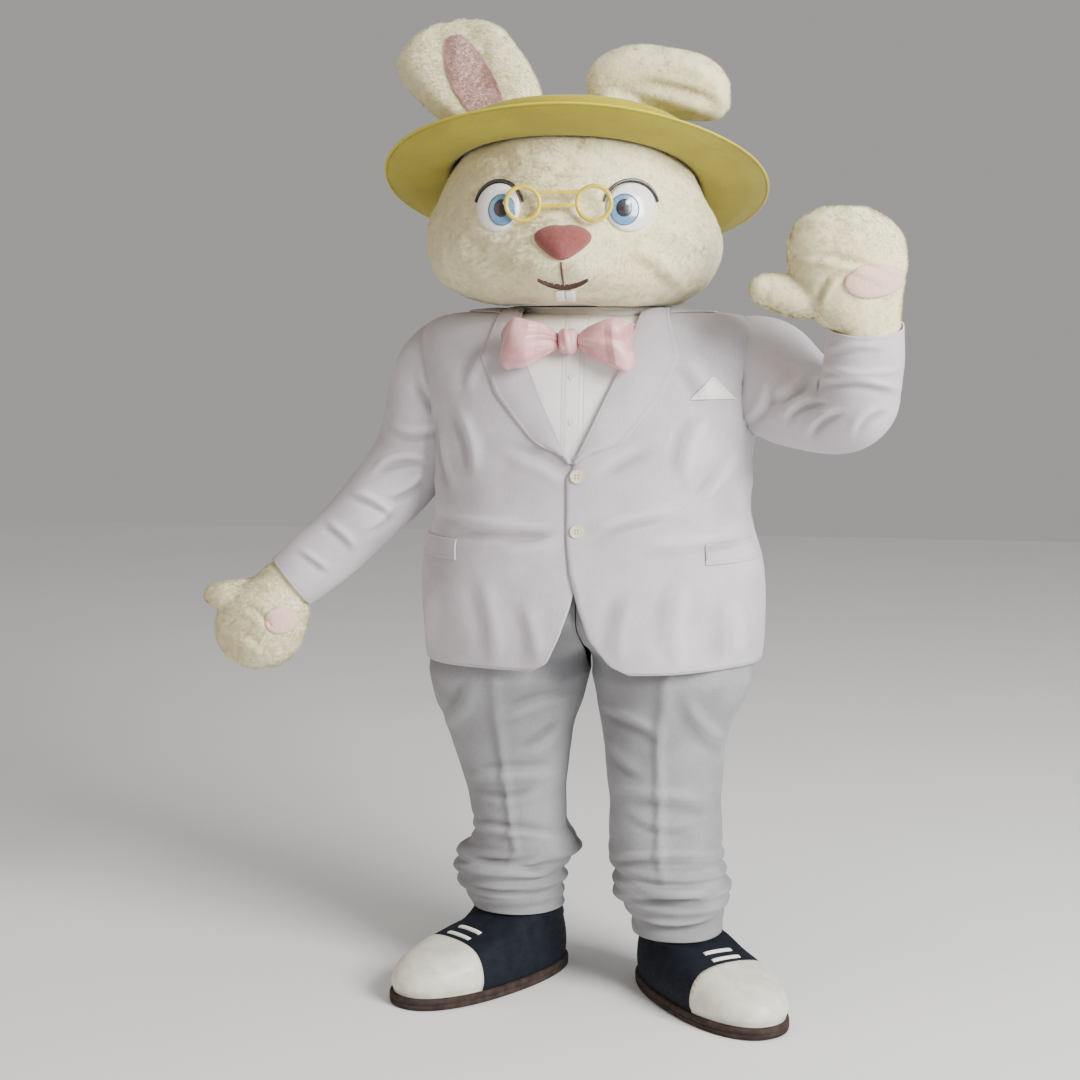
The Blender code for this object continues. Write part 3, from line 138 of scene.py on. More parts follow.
# Mitts from inside the cuff to the fingers' end: centre x, y, z, half size across, half size through
MITT_LEFT = np.array([
    (0.5257, -0.2330, 1.270, 0.0665, 0.0675),
    (0.5270, -0.2440, 1.304, 0.0640, 0.0650),
    (0.517, -0.254, 1.332, 0.084, 0.070),
    (0.504, -0.259, 1.365, 0.100, 0.075),
    (0.494, -0.263, 1.410, 0.107, 0.076),
    (0.490, -0.265, 1.452, 0.102, 0.070),
    (0.489, -0.266, 1.486, 0.078, 0.054),
    (0.489, -0.266, 1.505, 0.044, 0.032),
])
THUMB_LEFT = np.array([
    (0.462, -0.258, 1.346, 0.038, 0.042),
    (0.414, -0.262, 1.344, 0.042, 0.045),
    (0.370, -0.265, 1.352, 0.038, 0.040),
    (0.337, -0.266, 1.360, 0.028, 0.029),
    (0.322, -0.266, 1.364, 0.015, 0.015),
])
MITT_RIGHT = np.array([
    (-0.5670, -0.0730, 0.7990, 0.0579, 0.0614),
    (-0.5970, -0.0835, 0.7740, 0.0564, 0.0584),
    (-0.611, -0.091, 0.750, 0.070, 0.064),
    (-0.629, -0.100, 0.722, 0.086, 0.068),
    (-0.650, -0.108, 0.690, 0.089, 0.066),
    (-0.670, -0.114, 0.660, 0.077, 0.056),
    (-0.684, -0.118, 0.637, 0.052, 0.040),
    (-0.691, -0.120, 0.624, 0.025, 0.020),
])
THUMB_RIGHT = np.array([
    (-0.632, -0.094, 0.748, 0.036, 0.042),
    (-0.672, -0.103, 0.751, 0.038, 0.042),
    (-0.713, -0.110, 0.755, 0.032, 0.036),
    (-0.742, -0.113, 0.758, 0.022, 0.024),
    (-0.756, -0.114, 0.759, 0.011, 0.012),
])

# Head form: centre x, centre y, centre height, tilt back in degrees, half width, front, back
HEAD = np.array([
    (-0.014, 0.000, 1.3240, 0.0, 0.120, 0.096, 0.092),
    (-0.015, 0.000, 1.3240, 0.0, 0.172, 0.163, 0.156),
    (-0.025, 0.000, 1.3350, 0.0, 0.209, 0.204, 0.196),
    (-0.032, 0.000, 1.3650, 0.0, 0.256, 0.240, 0.240),
    (-0.035, 0.000, 1.4030, 0.0, 0.280, 0.260, 0.264),
    (-0.036, 0.000, 1.4450, 1.0, 0.286, 0.266, 0.274),
    (-0.037, 0.000, 1.4850, 6.0, 0.278, 0.262, 0.270),
    (-0.036, 0.000, 1.5220, 14.0, 0.258, 0.251, 0.256),
    (-0.034, 0.004, 1.5560, 20.0, 0.238, 0.240, 0.240),
    (-0.034, 0.018, 1.5900, 20.0, 0.214, 0.216, 0.216),
    (-0.034, 0.026, 1.6140, 20.0, 0.165, 0.168, 0.168),
    (-0.034, 0.029, 1.6240, 20.0, 0.110, 0.112, 0.112),
    (-0.034, 0.031, 1.6270, 20.0, 0.045, 0.046, 0.046),
])
HAT_ROW = 8  # the head's row where the hat sits
MUZZLE_X, MUZZLE_Z = -0.018, 1.395

# Hat
HAT_TILT = math.radians(HEAD[HAT_ROW][3])
HAT_CENTRE = Vector(HEAD[HAT_ROW][:3])
BRIM_RADIUS = 0.373
CROWN_HEIGHT = 0.090

# Legs, from the hem upwards: height, inner x, outer x, front y, back y
LEG_LEFT = np.array([
    (0.122, 0.090, 0.262, -0.158, 0.030),
    (0.150, 0.086, 0.264, -0.160, 0.034),
    (0.178, 0.066, 0.273, -0.172, 0.044),
    (0.205, 0.050, 0.278, -0.172, 0.048),
    (0.232, 0.054, 0.268, -0.160, 0.040),
    (0.262, 0.042, 0.264, -0.160, 0.044),
    (0.300, 0.042, 0.260, -0.156, 0.046),
    (0.360, 0.041, 0.259, -0.152, 0.054),
    (0.430, 0.036, 0.262, -0.150, 0.070),
    (0.500, 0.026, 0.269, -0.154, 0.092),
    (0.560, 0.014, 0.298, -0.162, 0.120),
    (0.612, 0.003, 0.320, -0.180, 0.150),
])
LEG_RIGHT = np.array([
    (0.137, 0.058, 0.242, -0.086, 0.104),
    (0.165, 0.060, 0.256, -0.090, 0.106),
    (0.192, 0.055, 0.270, -0.100, 0.112),
    (0.220, 0.052, 0.273, -0.100, 0.114),
    (0.246, 0.026, 0.264, -0.094, 0.112),
    (0.268, 0.032, 0.242, -0.092, 0.110),
    (0.300, 0.050, 0.238, -0.092, 0.108),
    (0.360, 0.054, 0.248, -0.096, 0.110),
    (0.430, 0.048, 0.268, -0.106, 0.116),
    (0.500, 0.036, 0.291, -0.122, 0.124),
    (0.560, 0.018, 0.313, -0.145, 0.134),
    (0.612, 0.003, 0.321, -0.178, 0.150),
])
CROTCH_Z = 0.612
RISE = 0.13  # height over which the crotch curve climbs to the centre front and back
WAIST_Z = 0.935
CREASE = 0.006  # how far the pressed crease stands out
RISE_GAP = 0.0010  # the legs' distance from the middle along the crotch seam

# Shoes: heel point on the floor, heading from -Y towards the outside in degrees
SOLE_HEIGHT = 0.022
SHOES = {
    "left": (Vector((0.110, 0.035, 0.0)), 38.0, 1.0),
    "right": (Vector((-0.077, 0.087, 0.0)), 37.0, -1.0),
}
# Shoe upper: height, front end and back end along the shoe, half width
UPPER = np.array([
    (0.0223, 0.420, 0.004, 0.089),
    (0.0450, 0.422, 0.002, 0.092),
    (0.0680, 0.404, 0.003, 0.089),
    (0.0870, 0.362, 0.006, 0.082),
    (0.1010, 0.300, 0.010, 0.076),
    (0.1120, 0.240, 0.012, 0.075),
])
CAP_LINE = 0.292  # where the toe cap meets the quarters, along the shoe

# Ears in the hat's frame: centre x, y, z, half width, half thickness
EAR_RIGHT = np.array([
    (-0.155, 0.000, 0.0905, 0.056, 0.046),
    (-0.166, 0.002, 0.122, 0.080, 0.054),
    (-0.190, 0.004, 0.165, 0.116, 0.060),
    (-0.217, 0.004, 0.213, 0.137, 0.061),
    (-0.240, 0.002, 0.260, 0.137, 0.057),
    (-0.250, 0.000, 0.305, 0.115, 0.048),
    (-0.247, 0.000, 0.341, 0.080, 0.036),
    (-0.243, 0.000, 0.359, 0.036, 0.019),
])
EAR_LEFT = np.array([
    (0.012, 0.000, 0.206, 0.030, 0.026),
    (0.032, 0.000, 0.214, 0.050, 0.048),
    (0.073, 0.000, 0.222, 0.064, 0.066),
    (0.128, -0.004, 0.221, 0.069, 0.074),
    (0.188, -0.010, 0.212, 0.067, 0.076),
    (0.240, -0.016, 0.199, 0.061, 0.070),
    (0.277, -0.020, 0.186, 0.047, 0.054),
    (0.297, -0.022, 0.178, 0.024, 0.028),
])
EAR_ROOT = np.array([
    (0.084, 0.000, 0.0905, 0.060, 0.050),
    (0.082, 0.000, 0.130, 0.061, 0.056),
    (0.080, 0.000, 0.190, 0.052, 0.054),
])

# Bow tie wings from the knot outwards: distance, middle height, half height, half depth
BOW_WING = np.array([
    (0.019, 1.262, 0.014, 0.010),
    (0.040, 1.263, 0.028, 0.016),
    (0.065, 1.262, 0.040, 0.020),
    (0.090, 1.258, 0.047, 0.020),
    (0.110, 1.255, 0.046, 0.015),
    (0.120, 1.254, 0.038, 0.008),
])
BOW_X = -0.018

# Folds, seen from the front: x and height of both ends, half width, height, bend sideways
JACKET_FOLDS = (
    (-0.260, 0.905, -0.020, 0.912, 0.013, 0.0050, 0.006),
    (-0.300, 0.935, -0.110, 0.925, 0.012, 0.0032, -0.008),
    (0.030, 0.910, 0.180, 0.948, 0.012, 0.0038, 0.008),
    (0.120, 0.890, 0.300, 0.905, 0.013, 0.0036, -0.006),
    (0.020, 1.010, 0.130, 1.075, 0.014, 0.0030, 0.004),
    (-0.020, 1.000, -0.140, 1.050, 0.014, 0.0028, -0.006),
    (-0.030, 0.900, -0.150, 0.868, 0.014, 0.0030, 0.006),
    (-0.235, 1.130, -0.200, 1.010, 0.016, 0.0042, 0.012),
    (-0.275, 1.110, -0.240, 0.970, 0.014, 0.0036, -0.010),
    (0.235, 1.120, 0.200, 1.000, 0.016, 0.0038, -0.012),
    (0.290, 1.060, 0.225, 0.960, 0.013, 0.0034, 0.006),
    (0.190, 1.235, 0.245, 1.150, 0.016, 0.0036, 0.008),
    (-0.165, 1.245, -0.215, 1.165, 0.016, 0.0034, -0.008),
    (-0.180, 0.820, -0.150, 0.655, 0.024, 0.0034, 0.010),
    (-0.095, 0.780, -0.070, 0.660, 0.020, 0.0028, 0.008),
    (0.110, 0.800, 0.085, 0.660, 0.020, 0.0028, -0.008),
    (0.205, 0.830, 0.195, 0.650, 0.024, 0.0032, -0.010),
    (0.285, 0.790, 0.290, 0.660, 0.022, 0.0026, 0.006),
    (-0.285, 0.800, -0.290, 0.660, 0.022, 0.0026, -0.006),
)
BACK_FOLDS = (
    (-0.250, 0.915, 0.240, 0.905, 0.015, 0.0046, 0.014),
    (-0.210, 0.955, 0.050, 0.940, 0.013, 0.0030, -0.010),
    (0.040, 0.885, 0.260, 0.900, 0.013, 0.0030, 0.008),
    (-0.230, 1.190, -0.150, 1.030, 0.020, 0.0042, 0.020),
    (0.235, 1.185, 0.150, 1.020, 0.020, 0.0042, -0.020),
    (-0.120, 1.255, 0.110, 1.245, 0.018, 0.0030, 0.018),
    (-0.160, 0.820, -0.175, 0.655, 0.024, 0.0034, 0.010),
    (0.150, 0.820, 0.165, 0.655, 0.024, 0.0034, -0.010),
    (0.000, 0.800, 0.010, 0.655, 0.022, 0.0026, 0.006),
)
SLEEVE_LEFT_FOLDS = (
    (0.375, 1.120, 0.450, 1.165, 0.010, 0.0060, 0.012),
    (0.420, 1.095, 0.480, 1.145, 0.010, 0.0052, 0.010),
    (0.345, 1.160, 0.420, 1.205, 0.011, 0.0044, -0.010),
    (0.300, 1.110, 0.345, 1.190, 0.012, 0.0042, -0.012),
    (0.255, 1.130, 0.280, 1.235, 0.012, 0.0036, -0.010),
    (0.445, 1.195, 0.590, 1.180, 0.010, 0.0048, 0.012),
    (0.450, 1.222, 0.585, 1.218, 0.009, 0.0036, -0.008),
    (0.455, 1.250, 0.560, 1.258, 0.009, 0.0026, 0.006),
    (0.500, 1.100, 0.560, 1.150, 0.011, 0.0040, 0.012),
)
SLEEVE_RIGHT_FOLDS = (
    (-0.420, 1.010, -0.315, 1.030, 0.011, 0.0052, 0.012),
    (-0.400, 0.955, -0.325, 1.000, 0.010, 0.0050, -0.008),
    (-0.460, 0.960, -0.380, 0.920, 0.010, 0.0046, 0.010),
    (-0.440, 0.890, -0.380, 0.945, 0.010, 0.0038, -0.008),
    (-0.510, 0.905, -0.450, 0.855, 0.010, 0.0042, 0.008),
    (-0.560, 0.850, -0.500, 0.810, 0.009, 0.0034, 0.006),
    (-0.390, 1.090, -0.270, 1.105, 0.012, 0.0038, -0.012),
    (-0.330, 1.200, -0.250, 1.120, 0.014, 0.0034, -0.010),
)
LEG_FOLDS = (
    (0.030, 0.560, 0.150, 0.520, 0.014, 0.0040, 0.008),
    (0.040, 0.500, 0.120, 0.440, 0.015, 0.0032, -0.008),
    (0.060, 0.400, 0.240, 0.385, 0.015, 0.0034, 0.012),
    (0.080, 0.365, 0.230, 0.350, 0.012, 0.0028, -0.010),
    (0.050, 0.268, 0.250, 0.282, 0.010, 0.0050, 0.014),
    (0.080, 0.236, 0.265, 0.226, 0.009, 0.0056, -0.012),
    (0.060, 0.196, 0.250, 0.205, 0.009, 0.0052, 0.012),
    (0.100, 0.166, 0.262, 0.170, 0.008, 0.0040, -0.008),
    (0.200, 0.600, 0.290, 0.480, 0.018, 0.0036, -0.012),
)
LOOK_SEED = 11

# Camera
SENSOR = 36.0  # sensor width in millimetres
PICTURE_WIDTH = 2.106  # what the picture takes in at the figure's axis
CAMERA_HEIGHT = 0.08  # above the world origin
CAMERA_DIP, CAMERA_PAN = 3.65, 1.48  # degrees down and aside
CAMERA_SHIFT = -0.122
# Soft lights: side, place, aim and colour
LAMPS = {
    "key": (2.2, (3.5, -2.7, 1.7), (0.0, 0.0, 0.0), (1.0, 0.985, 0.96)),
    "fill": (2.4, (-3.4, -2.6, 0.9), (0.0, 0.0, -0.2), (1.0, 0.76, 0.54)),
    "top": (3.0, (0.3, -0.2, 3.2), (0.0, 0.0, 0.0), (1.0, 1.0, 1.0)),
}
SKY_COLOUR, SKY_STRENGTH = (1.0, 0.975, 0.94, 1.0), 0.38
FLOOR_TONES, FLOOR_ROUGHNESS = ((0.80, 0.80, 0.80), (0.84, 0.84, 0.84)), 0.8

FOLD_GAIN = 1.55  # how much deeper the cloth's folds are than their rows say
FOLD_WIDTH = 0.82  # and how much narrower


def smooth(value):
    value = np.clip(value, 0.0, 1.0)
    return value * value * (3 - 2 * value)


def rows_at(table, positions):
    """A table's rows at fractional row numbers, by cubic interpolation; the columns come last."""
    last = len(table) - 1
    positions = np.clip(np.asarray(positions, float), 0.0, last)
    low = np.minimum(positions.astype(int), last - 1)
    part = (positions - low)[..., None]
    before, here = table[np.maximum(low - 1, 0)], table[low]
    after, beyond = table[low + 1], table[np.minimum(low + 2, last)]
    return (
        (2 * part**3 - 3 * part**2 + 1) * here
        + (part**3 - 2 * part**2 + part) * (after - before) / 2
        + (3 * part**2 - 2 * part**3) * after
        + (part**3 - part**2) * (beyond - here) / 2
    )


def row_of_height(table, height):
    """The fractional row numbers where a table's first column reaches the heights."""
    dense = np.linspace(0, len(table) - 1, 3001)
    return np.interp(height, np.maximum.accumulate(rows_at(table, dense)[:, 0]), dense)


def wave(value, power):
    return np.sign(value) * np.abs(value) ** (2 / power)


def torso_form(angle, row):
    """The jacket's form without folds; angle 0 is the centre front, and the wearer's left is above 0."""
    angle, row = np.broadcast_arrays(np.asarray(angle, float), np.asarray(row, float))
    sized = rows_at(TORSO, row)
    depth = np.where(np.cos(angle) > 0, sized[..., 2], sized[..., 3])
    return np.stack((
        sized[..., 1] * wave(np.sin(angle), POWER),
        -depth * wave(np.cos(angle), POWER),
        sized[..., 0],
    ), axis=-1)


def torso_point(angle, row, out=0.0):
    """Points of the jacket's outer face with its largest folds, moved out along the form's normal."""
    step = 0.004
    here = torso_form(angle, row)
    across = torso_form(angle + step, row) - torso_form(angle - step, row)
    along = torso_form(angle, row + 10 * step) - torso_form(angle, row - 10 * step)
    normal = unit(np.cross(across, along))
    side = np.abs(np.sin(angle))
    height = here[..., 2]
    waist = -0.004 * (1 - 0.6 * side) * np.exp(-(((height - 0.905 - 0.02 * side) / 0.014) ** 2))
    drag = 0.0035 * np.exp(-(((height - 0.985) / 0.020) ** 2)) * side
    skirt = 0.004 * np.sin(5 * angle) * smooth((0.80 - height) / 0.15)
    return here + normal * np.asarray(out + waist + drag + skirt)[..., None]


def angle_of_x(x, row):
    half = rows_at(TORSO, row)[..., 1]
    return np.sign(x) * np.arcsin(np.minimum(1.0, np.abs(x) / half) ** (POWER / 2))


def edge_at(height, column):
    return np.interp(height, FRONT_EDGES[:, 0], FRONT_EDGES[:, column])


def unit(vectors):
    return vectors / np.maximum(np.linalg.norm(vectors, axis=-1, keepdims=True), 1e-12)


def grid_normals(grid, closed):
    if closed:
        across = np.roll(grid, -1, axis=1) - np.roll(grid, 1, axis=1)
    else:
        across = np.gradient(grid, axis=1)
    return unit(np.cross(across, np.gradient(grid, axis=0)))


def unevenness(points, seed, waves=9, longest=0.21, shortest=0.07):
    """A soft field between about -1 and 1, the sum of waves of many directions, the same at each run."""
    rng = np.random.default_rng(seed)
    total = np.zeros(points.shape[:-1])
    for _ in range(waves):
        way = unit(rng.normal(size=3)) * math.tau / rng.uniform(shortest, longest)
        total += np.sin(points @ way + rng.uniform(0, math.tau))
    return total / math.sqrt(waves)


def fold_height(x, z, rows, gain=1.0, narrow=1.0):
    """The height of the placed folds: each a rounded ridge with a softer trough beside it."""
    total = np.zeros(np.shape(x))
    for x0, z0, x1, z1, width, height, bend in rows:
        width, height = width * narrow, height * gain
        length = math.hypot(x1 - x0, z1 - z0)
        ax, az = (x1 - x0) / length, (z1 - z0) / length
        share = ((x - x0) * ax + (z - z0) * az) / length
        off = (x - x0) * -az + (z - z0) * ax - bend * (1 - (2 * share - 1) ** 2)
        fade = smooth((share + 0.12) / 0.45) * smooth((1.12 - share) / 0.45)
        ridge = np.exp(-((off / width) ** 2))
        trough = 0.75 * np.exp(-(((off + 1.5 * width) / (1.0 * width)) ** 2))
        total += height * fade * (ridge - trough)
    return total


def outward_normals(grid, closed, middle):
    """Grid normals that face away from the rings' middles, or from a vertical line (x, y)."""
    normals = grid_normals(grid, closed)
    away = grid.mean(axis=1, keepdims=True) + 0 * grid if closed else np.array(grid)
    if not closed:
        away[..., 0], away[..., 1] = middle
    return -normals if ((grid - away) * normals).sum() < 0 else normals


def relief(grid, closed, front, back, seed, rough=0.0012, seams=(False, False), middle=(0, 0), groove=0.0013):
    """The grid moved along its normals by its folds and unevenness, those heights, its edge distances.

    front and back are fold rows; seams says which side edges sink into a sewn seam's groove.
    """
    normals = outward_normals(grid, closed, middle)
    facing = smooth((-normals[..., 1] + 0.25) / 0.5)
    height = fold_height(grid[..., 0], grid[..., 2], front, FOLD_GAIN, FOLD_WIDTH) * facing
    height += fold_height(grid[..., 0], grid[..., 2], back, FOLD_GAIN, FOLD_WIDTH) * (1 - facing)
    height += rough * unevenness(grid, seed)
    edge = edge_distance(grid, closed)
    first, last = end_distances(grid, closed)
    for wanted, distance in zip(seams, (first, last)):
        if wanted:
            distance = np.minimum(first, last) if closed else distance
            height = height - groove * np.exp(-((distance / 0.0035) ** 2))
    return grid + normals * height[..., None], height, edge


def end_distances(grid, closed=False):
    """Each point's distances to its row's first and last points; a closed row comes back to its first."""
    if closed:
        grid = np.concatenate([grid, grid[:, :1]], axis=1)
    steps = np.linalg.norm(np.diff(grid, axis=1), axis=2)
    run = np.concatenate([np.zeros((len(grid), 1)), np.cumsum(steps, axis=1)], axis=1)
    back = run[:, -1:] - run
    return (run[:, :-1], back[:, :-1]) if closed else (run, back)


def edge_distance(grid, closed):
    """Each point's distance to the grid's nearest border, measured along its rows and columns."""
    steps = np.linalg.norm(np.diff(grid, axis=0), axis=2)
    run = np.concatenate([np.zeros((1, grid.shape[1])), np.cumsum(steps, axis=0)], axis=0)
    near = np.minimum(run, run[-1:] - run)
    return near if closed else np.minimum(near, np.minimum(*end_distances(grid)))


def arc_uv(grid, closed):
    """UVs in metres: along the rows and up the columns."""
    if closed:
        grid = np.concatenate([grid, grid[:, :1]], axis=1)
    across = np.linalg.norm(np.diff(grid, axis=1), axis=2).mean(axis=0)
    along = np.linalg.norm(np.diff(grid, axis=0), axis=2).mean(axis=1)
    u = np.concatenate([[0.0], np.cumsum(across)])
    v = np.concatenate([[0.0], np.cumsum(along)])
    return np.stack(np.meshgrid(u, v), axis=-1)


def make_object(name, verts, quads, uvs=None, facets=None, attributes=None):
    """A mesh object at the origin, lowered to the shared origin.

    quads has four corners a face, with the last one repeated for a triangle; facets marks flat faces.
    """
    verts = np.array(verts, float)
    verts[:, 2] -= NECK_Z
    quads = np.asarray(quads, np.int64)
    three = quads[:, 3] == quads[:, 2]
    sizes = np.where(three, 3, 4)
    keep = np.ones(quads.shape, bool)
    keep[three, 3] = False
    mesh = bpy.data.meshes.new(name)
    mesh.vertices.add(len(verts))
    mesh.vertices.foreach_set("co", verts.ravel())
    mesh.loops.add(int(sizes.sum()))
    mesh.loops.foreach_set("vertex_index", quads[keep])
    mesh.polygons.add(len(quads))
    mesh.polygons.foreach_set("loop_start", np.concatenate([[0], np.cumsum(sizes)[:-1]]))
    smooth_faces = np.ones(len(quads), bool) if facets is None else ~np.asarray(facets, bool)
    mesh.update(calc_edges=True)
    mesh.polygons.foreach_set("use_smooth", smooth_faces)
    if uvs is not None:
        layer = mesh.uv_layers.new(name="UVMap")
        layer.data.foreach_set("uv", np.asarray(uvs, float)[keep].ravel())
    for key, values in (attributes or {}).items():
        mesh.attributes.new(key, "FLOAT", "POINT").data.foreach_set("value", np.asarray(values, float))
    mesh.validate()
    obj = bpy.data.objects.new(f"shown_{name}", mesh)
    bpy.context.scene.collection.objects.link(obj)
    return obj


def shown(name):
    return bpy.data.objects[f"shown_{name}"]


def shell(name, grid, thick, look, closed=False, middle=None, drop=None, raised=None, edge=None):
    """A thin cloth shell: the grid is its outer face, and its inner face lies thick behind.

    middle is the vertical line (x, y) the outer face looks away from; drop marks quads to leave out.
    """
    grid = np.asarray(grid, float)
    normals = outward_normals(grid, closed, middle)
    inward_order = (normals * grid_normals(grid, closed)).sum() < 0
    rows, columns = grid.shape[:2]
    verts = np.concatenate([grid.reshape(-1, 3), (grid - normals * thick).reshape(-1, 3)])
    spans = columns if closed else columns - 1
    i, j = np.meshgrid(np.arange(rows - 1), np.arange(spans), indexing="ij")
    i, j = i.ravel(), j.ravel()
    k = (j + 1) % columns
    uv = arc_uv(grid, closed)
    kept = np.ones(len(i), bool) if drop is None else ~np.asarray(drop)[:, :spans].ravel()
    corners = np.stack((i * columns + j, i * columns + k, (i + 1) * columns + k, (i + 1) * columns + j), 1)
    corner_uv = np.stack((uv[i, j], uv[i, j + 1], uv[i + 1, j + 1], uv[i + 1, j]), 1)
    corners, corner_uv = corners[kept], corner_uv[kept]
    outer = corners[:, ::-1] if inward_order else corners
    outer_uv = corner_uv[:, ::-1] if inward_order else corner_uv
    inner = outer[:, ::-1] + rows * columns
    ends = np.concatenate([outer[:, (a, (a + 1) % 4)] for a in range(4)])
    end_uv = np.concatenate([outer_uv[:, (a, (a + 1) % 4)] for a in range(4)])
    whole = len(verts)
    keys = ends.min(axis=1) * whole + ends.max(axis=1)
    _, first, times = np.unique(keys, return_index=True, return_counts=True)
    rim = ends[first[times == 1]]
    rim_uv = end_uv[first[times == 1]]
    rim_quads = np.stack((rim[:, 1], rim[:, 0], rim[:, 0] + rows * columns, rim[:, 1] + rows * columns), 1)
    quads = np.concatenate([outer, inner, rim_quads])
    uvs = np.concatenate([outer_uv, outer_uv[:, ::-1], rim_uv[:, (1, 0, 0, 1)]])
    facets = np.zeros(len(quads), bool)
    facets[2 * len(outer):] = True
    both = {
        "raised": np.tile(np.zeros(rows * columns) if raised is None else raised.ravel(), 2),
        "edge": np.tile(np.full(rows * columns, 0.5) if edge is None else edge.ravel(), 2),
    }
    obj = make_object(name, verts, quads, uvs, facets, both)
    remade(obj, drop_loose)
    return finished(obj, look)


def remade(obj, change):
    """Runs a change on the object's mesh as a bmesh."""
    bm = bmesh.new()
    bm.from_mesh(obj.data)
    change(bm)
    bm.to_mesh(obj.data)
    bm.free()


def drop_loose(bm):
    bmesh.ops.delete(bm, geom=[v for v in bm.verts if not v.link_faces], context="VERTS")


def finished(obj, look):
    """The object with its material, its paint slot and its place on the frame's body."""
    obj.data.materials.clear()
    obj.data.materials.append(LOOKS[look]())
    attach(obj, "root")
    return obj


def closed_loft(name, rings, look, wrap=False, attributes=None):
    """A solid through rings with fanned ends; with wrap the rings go round a section, as in a torus."""
    rings = np.asarray(rings, float)
    rows, columns = rings.shape[:2]
    verts = rings.reshape(-1, 3)
    uv = arc_uv(rings, True)
    i, j = np.meshgrid(np.arange(rows if wrap else rows - 1), np.arange(columns), indexing="ij")
    i, j = i.ravel(), j.ravel()
    n, k = (i + 1) % rows, (j + 1) % columns
    quads = np.stack((i * columns + j, i * columns + k, n * columns + k, n * columns + j), 1)
    top = np.minimum(i + 1, rows - 1)
    uvs = np.stack((uv[i, j], uv[i, j + 1], uv[top, j + 1], uv[top, j]), 1)
    extra, extra_uv = [], []
    if not wrap:
        for row in (0, rows - 1):
            verts = np.concatenate([verts, rings[row].mean(axis=0)[None]])
            a = row * columns + np.arange(columns)
            b = row * columns + (np.arange(columns) + 1) % columns
            tip = np.full(columns, len(verts) - 1)
            extra.append(np.stack((b, a, tip, tip) if row == 0 else (a, b, tip, tip), 1))
            extra_uv.append(np.repeat(uv[row, :columns][:, None], 4, axis=1))
    if extra:
        quads = np.concatenate([quads, *extra])
        uvs = np.concatenate([uvs, *extra_uv])
    obj = make_object(name, verts, quads, uvs, attributes=attributes or {"edge": np.full(len(verts), 0.5)})
    remade(obj, turn_outward)
    return finished(obj, look)


def turn_outward(bm):
    bmesh.ops.recalc_face_normals(bm, faces=bm.faces)


def limb_frames(table, positions):
    """A limb's rows at those positions, with its way along, its frontward side and its upward side."""
    rows = rows_at(table, positions)
    along = unit(rows_at(table, positions + 0.4)[:, :3] - rows_at(table, positions - 0.4)[:, :3])
    side = unit(FRONTWARD - along * (along @ FRONTWARD)[:, None])
    return rows, along, side, np.cross(along, side)


def limb_rings(table, positions, columns, turned=0.0):
    """Rings round a limb's path: table rows hold centre, half size upwards and half size sideways."""
    rows, _, side, up = limb_frames(table, np.asarray(positions, float))
    turn = (math.tau * np.arange(columns) / columns + turned)[None, :, None]
    high, wide = rows[:, 3][:, None, None], rows[:, 4][:, None, None]
    return rows[:, None, :3] + up[:, None] * high * np.cos(turn) + side[:, None] * wide * np.sin(turn)


def inside_limb(points, table, grow, last=None):
    """Which points lie inside a limb's tube, grown by that much."""
    positions = np.linspace(0, len(table) - 1 if last is None else last, 160)
    rows, along, side, up = limb_frames(table, positions)
    inside = np.zeros(len(points), bool)
    for row, a, u, s in zip(rows, along, up, side):
        off = points - row[:3]
        near = np.abs(off @ a) < 0.006
        inside |= near & (((off @ u) / (row[3] + grow)) ** 2 + ((off @ s) / (row[4] + grow)) ** 2 < 1)
    return inside


def inside_torso(points, shrink):
    sized = rows_at(TORSO, row_of_height(TORSO, points[:, 2]))
    depth = np.where(points[:, 1] < 0, sized[:, 2], sized[:, 3]) - shrink
    share = (np.abs(points[:, 0]) / (sized[:, 1] - shrink)) ** POWER
    share += (np.abs(points[:, 1]) / depth) ** POWER
    return (share < 1) & (points[:, 2] > TORSO[0][0]) & (points[:, 2] < TORSO[-1][0] - shrink)


def quad_middles(grid, closed):
    nxt = np.roll(grid, -1, axis=1) if closed else grid[:, 1:]
    here = grid if closed else grid[:, :-1]
    return (here[:-1] + here[1:] + nxt[:-1] + nxt[1:]) / 4


def surface_of(objects):
    """A ray caster on finished meshes, in heights above the floor."""
    verts, faces = [], []
    for obj in objects:
        start = len(verts)
        verts += [(v.co.x, v.co.y, v.co.z + NECK_Z) for v in obj.data.vertices]
        faces += [[start + i for i in p.vertices] for p in obj.data.polygons]
    return BVHTree.FromPolygons(verts, faces)


def front_hit(tree, x, z):
    spot, normal, _, _ = tree.ray_cast(Vector((x, -1.5, z)), Vector((0, 1, 0)))
    if spot is None:
        raise ValueError(f"no surface at {x:.3f}, {z:.3f}")
    return np.array(spot), np.array(normal if normal.y < 0 else -normal)


def node_group(name, outputs, build):
    """A shared group of texture nodes with a Fineness input and the named float outputs, built once."""
    group = bpy.data.node_groups.get(name)
    if group:
        return group
    group = bpy.data.node_groups.new(name, "ShaderNodeTree")
    fineness = group.interface.new_socket(name="Fineness", in_out="INPUT", socket_type="NodeSocketFloat")
    fineness.default_value = 1.0
    for key in outputs:
        group.interface.new_socket(name=key, in_out="OUTPUT", socket_type="NodeSocketFloat")
    enter, leave = group.nodes.new("NodeGroupInput"), group.nodes.new("NodeGroupOutput")
    for key, socket in zip(outputs, build(Graph(group), enter.outputs["Fineness"])):
        group.links.new(socket, leave.inputs[key])
    return group


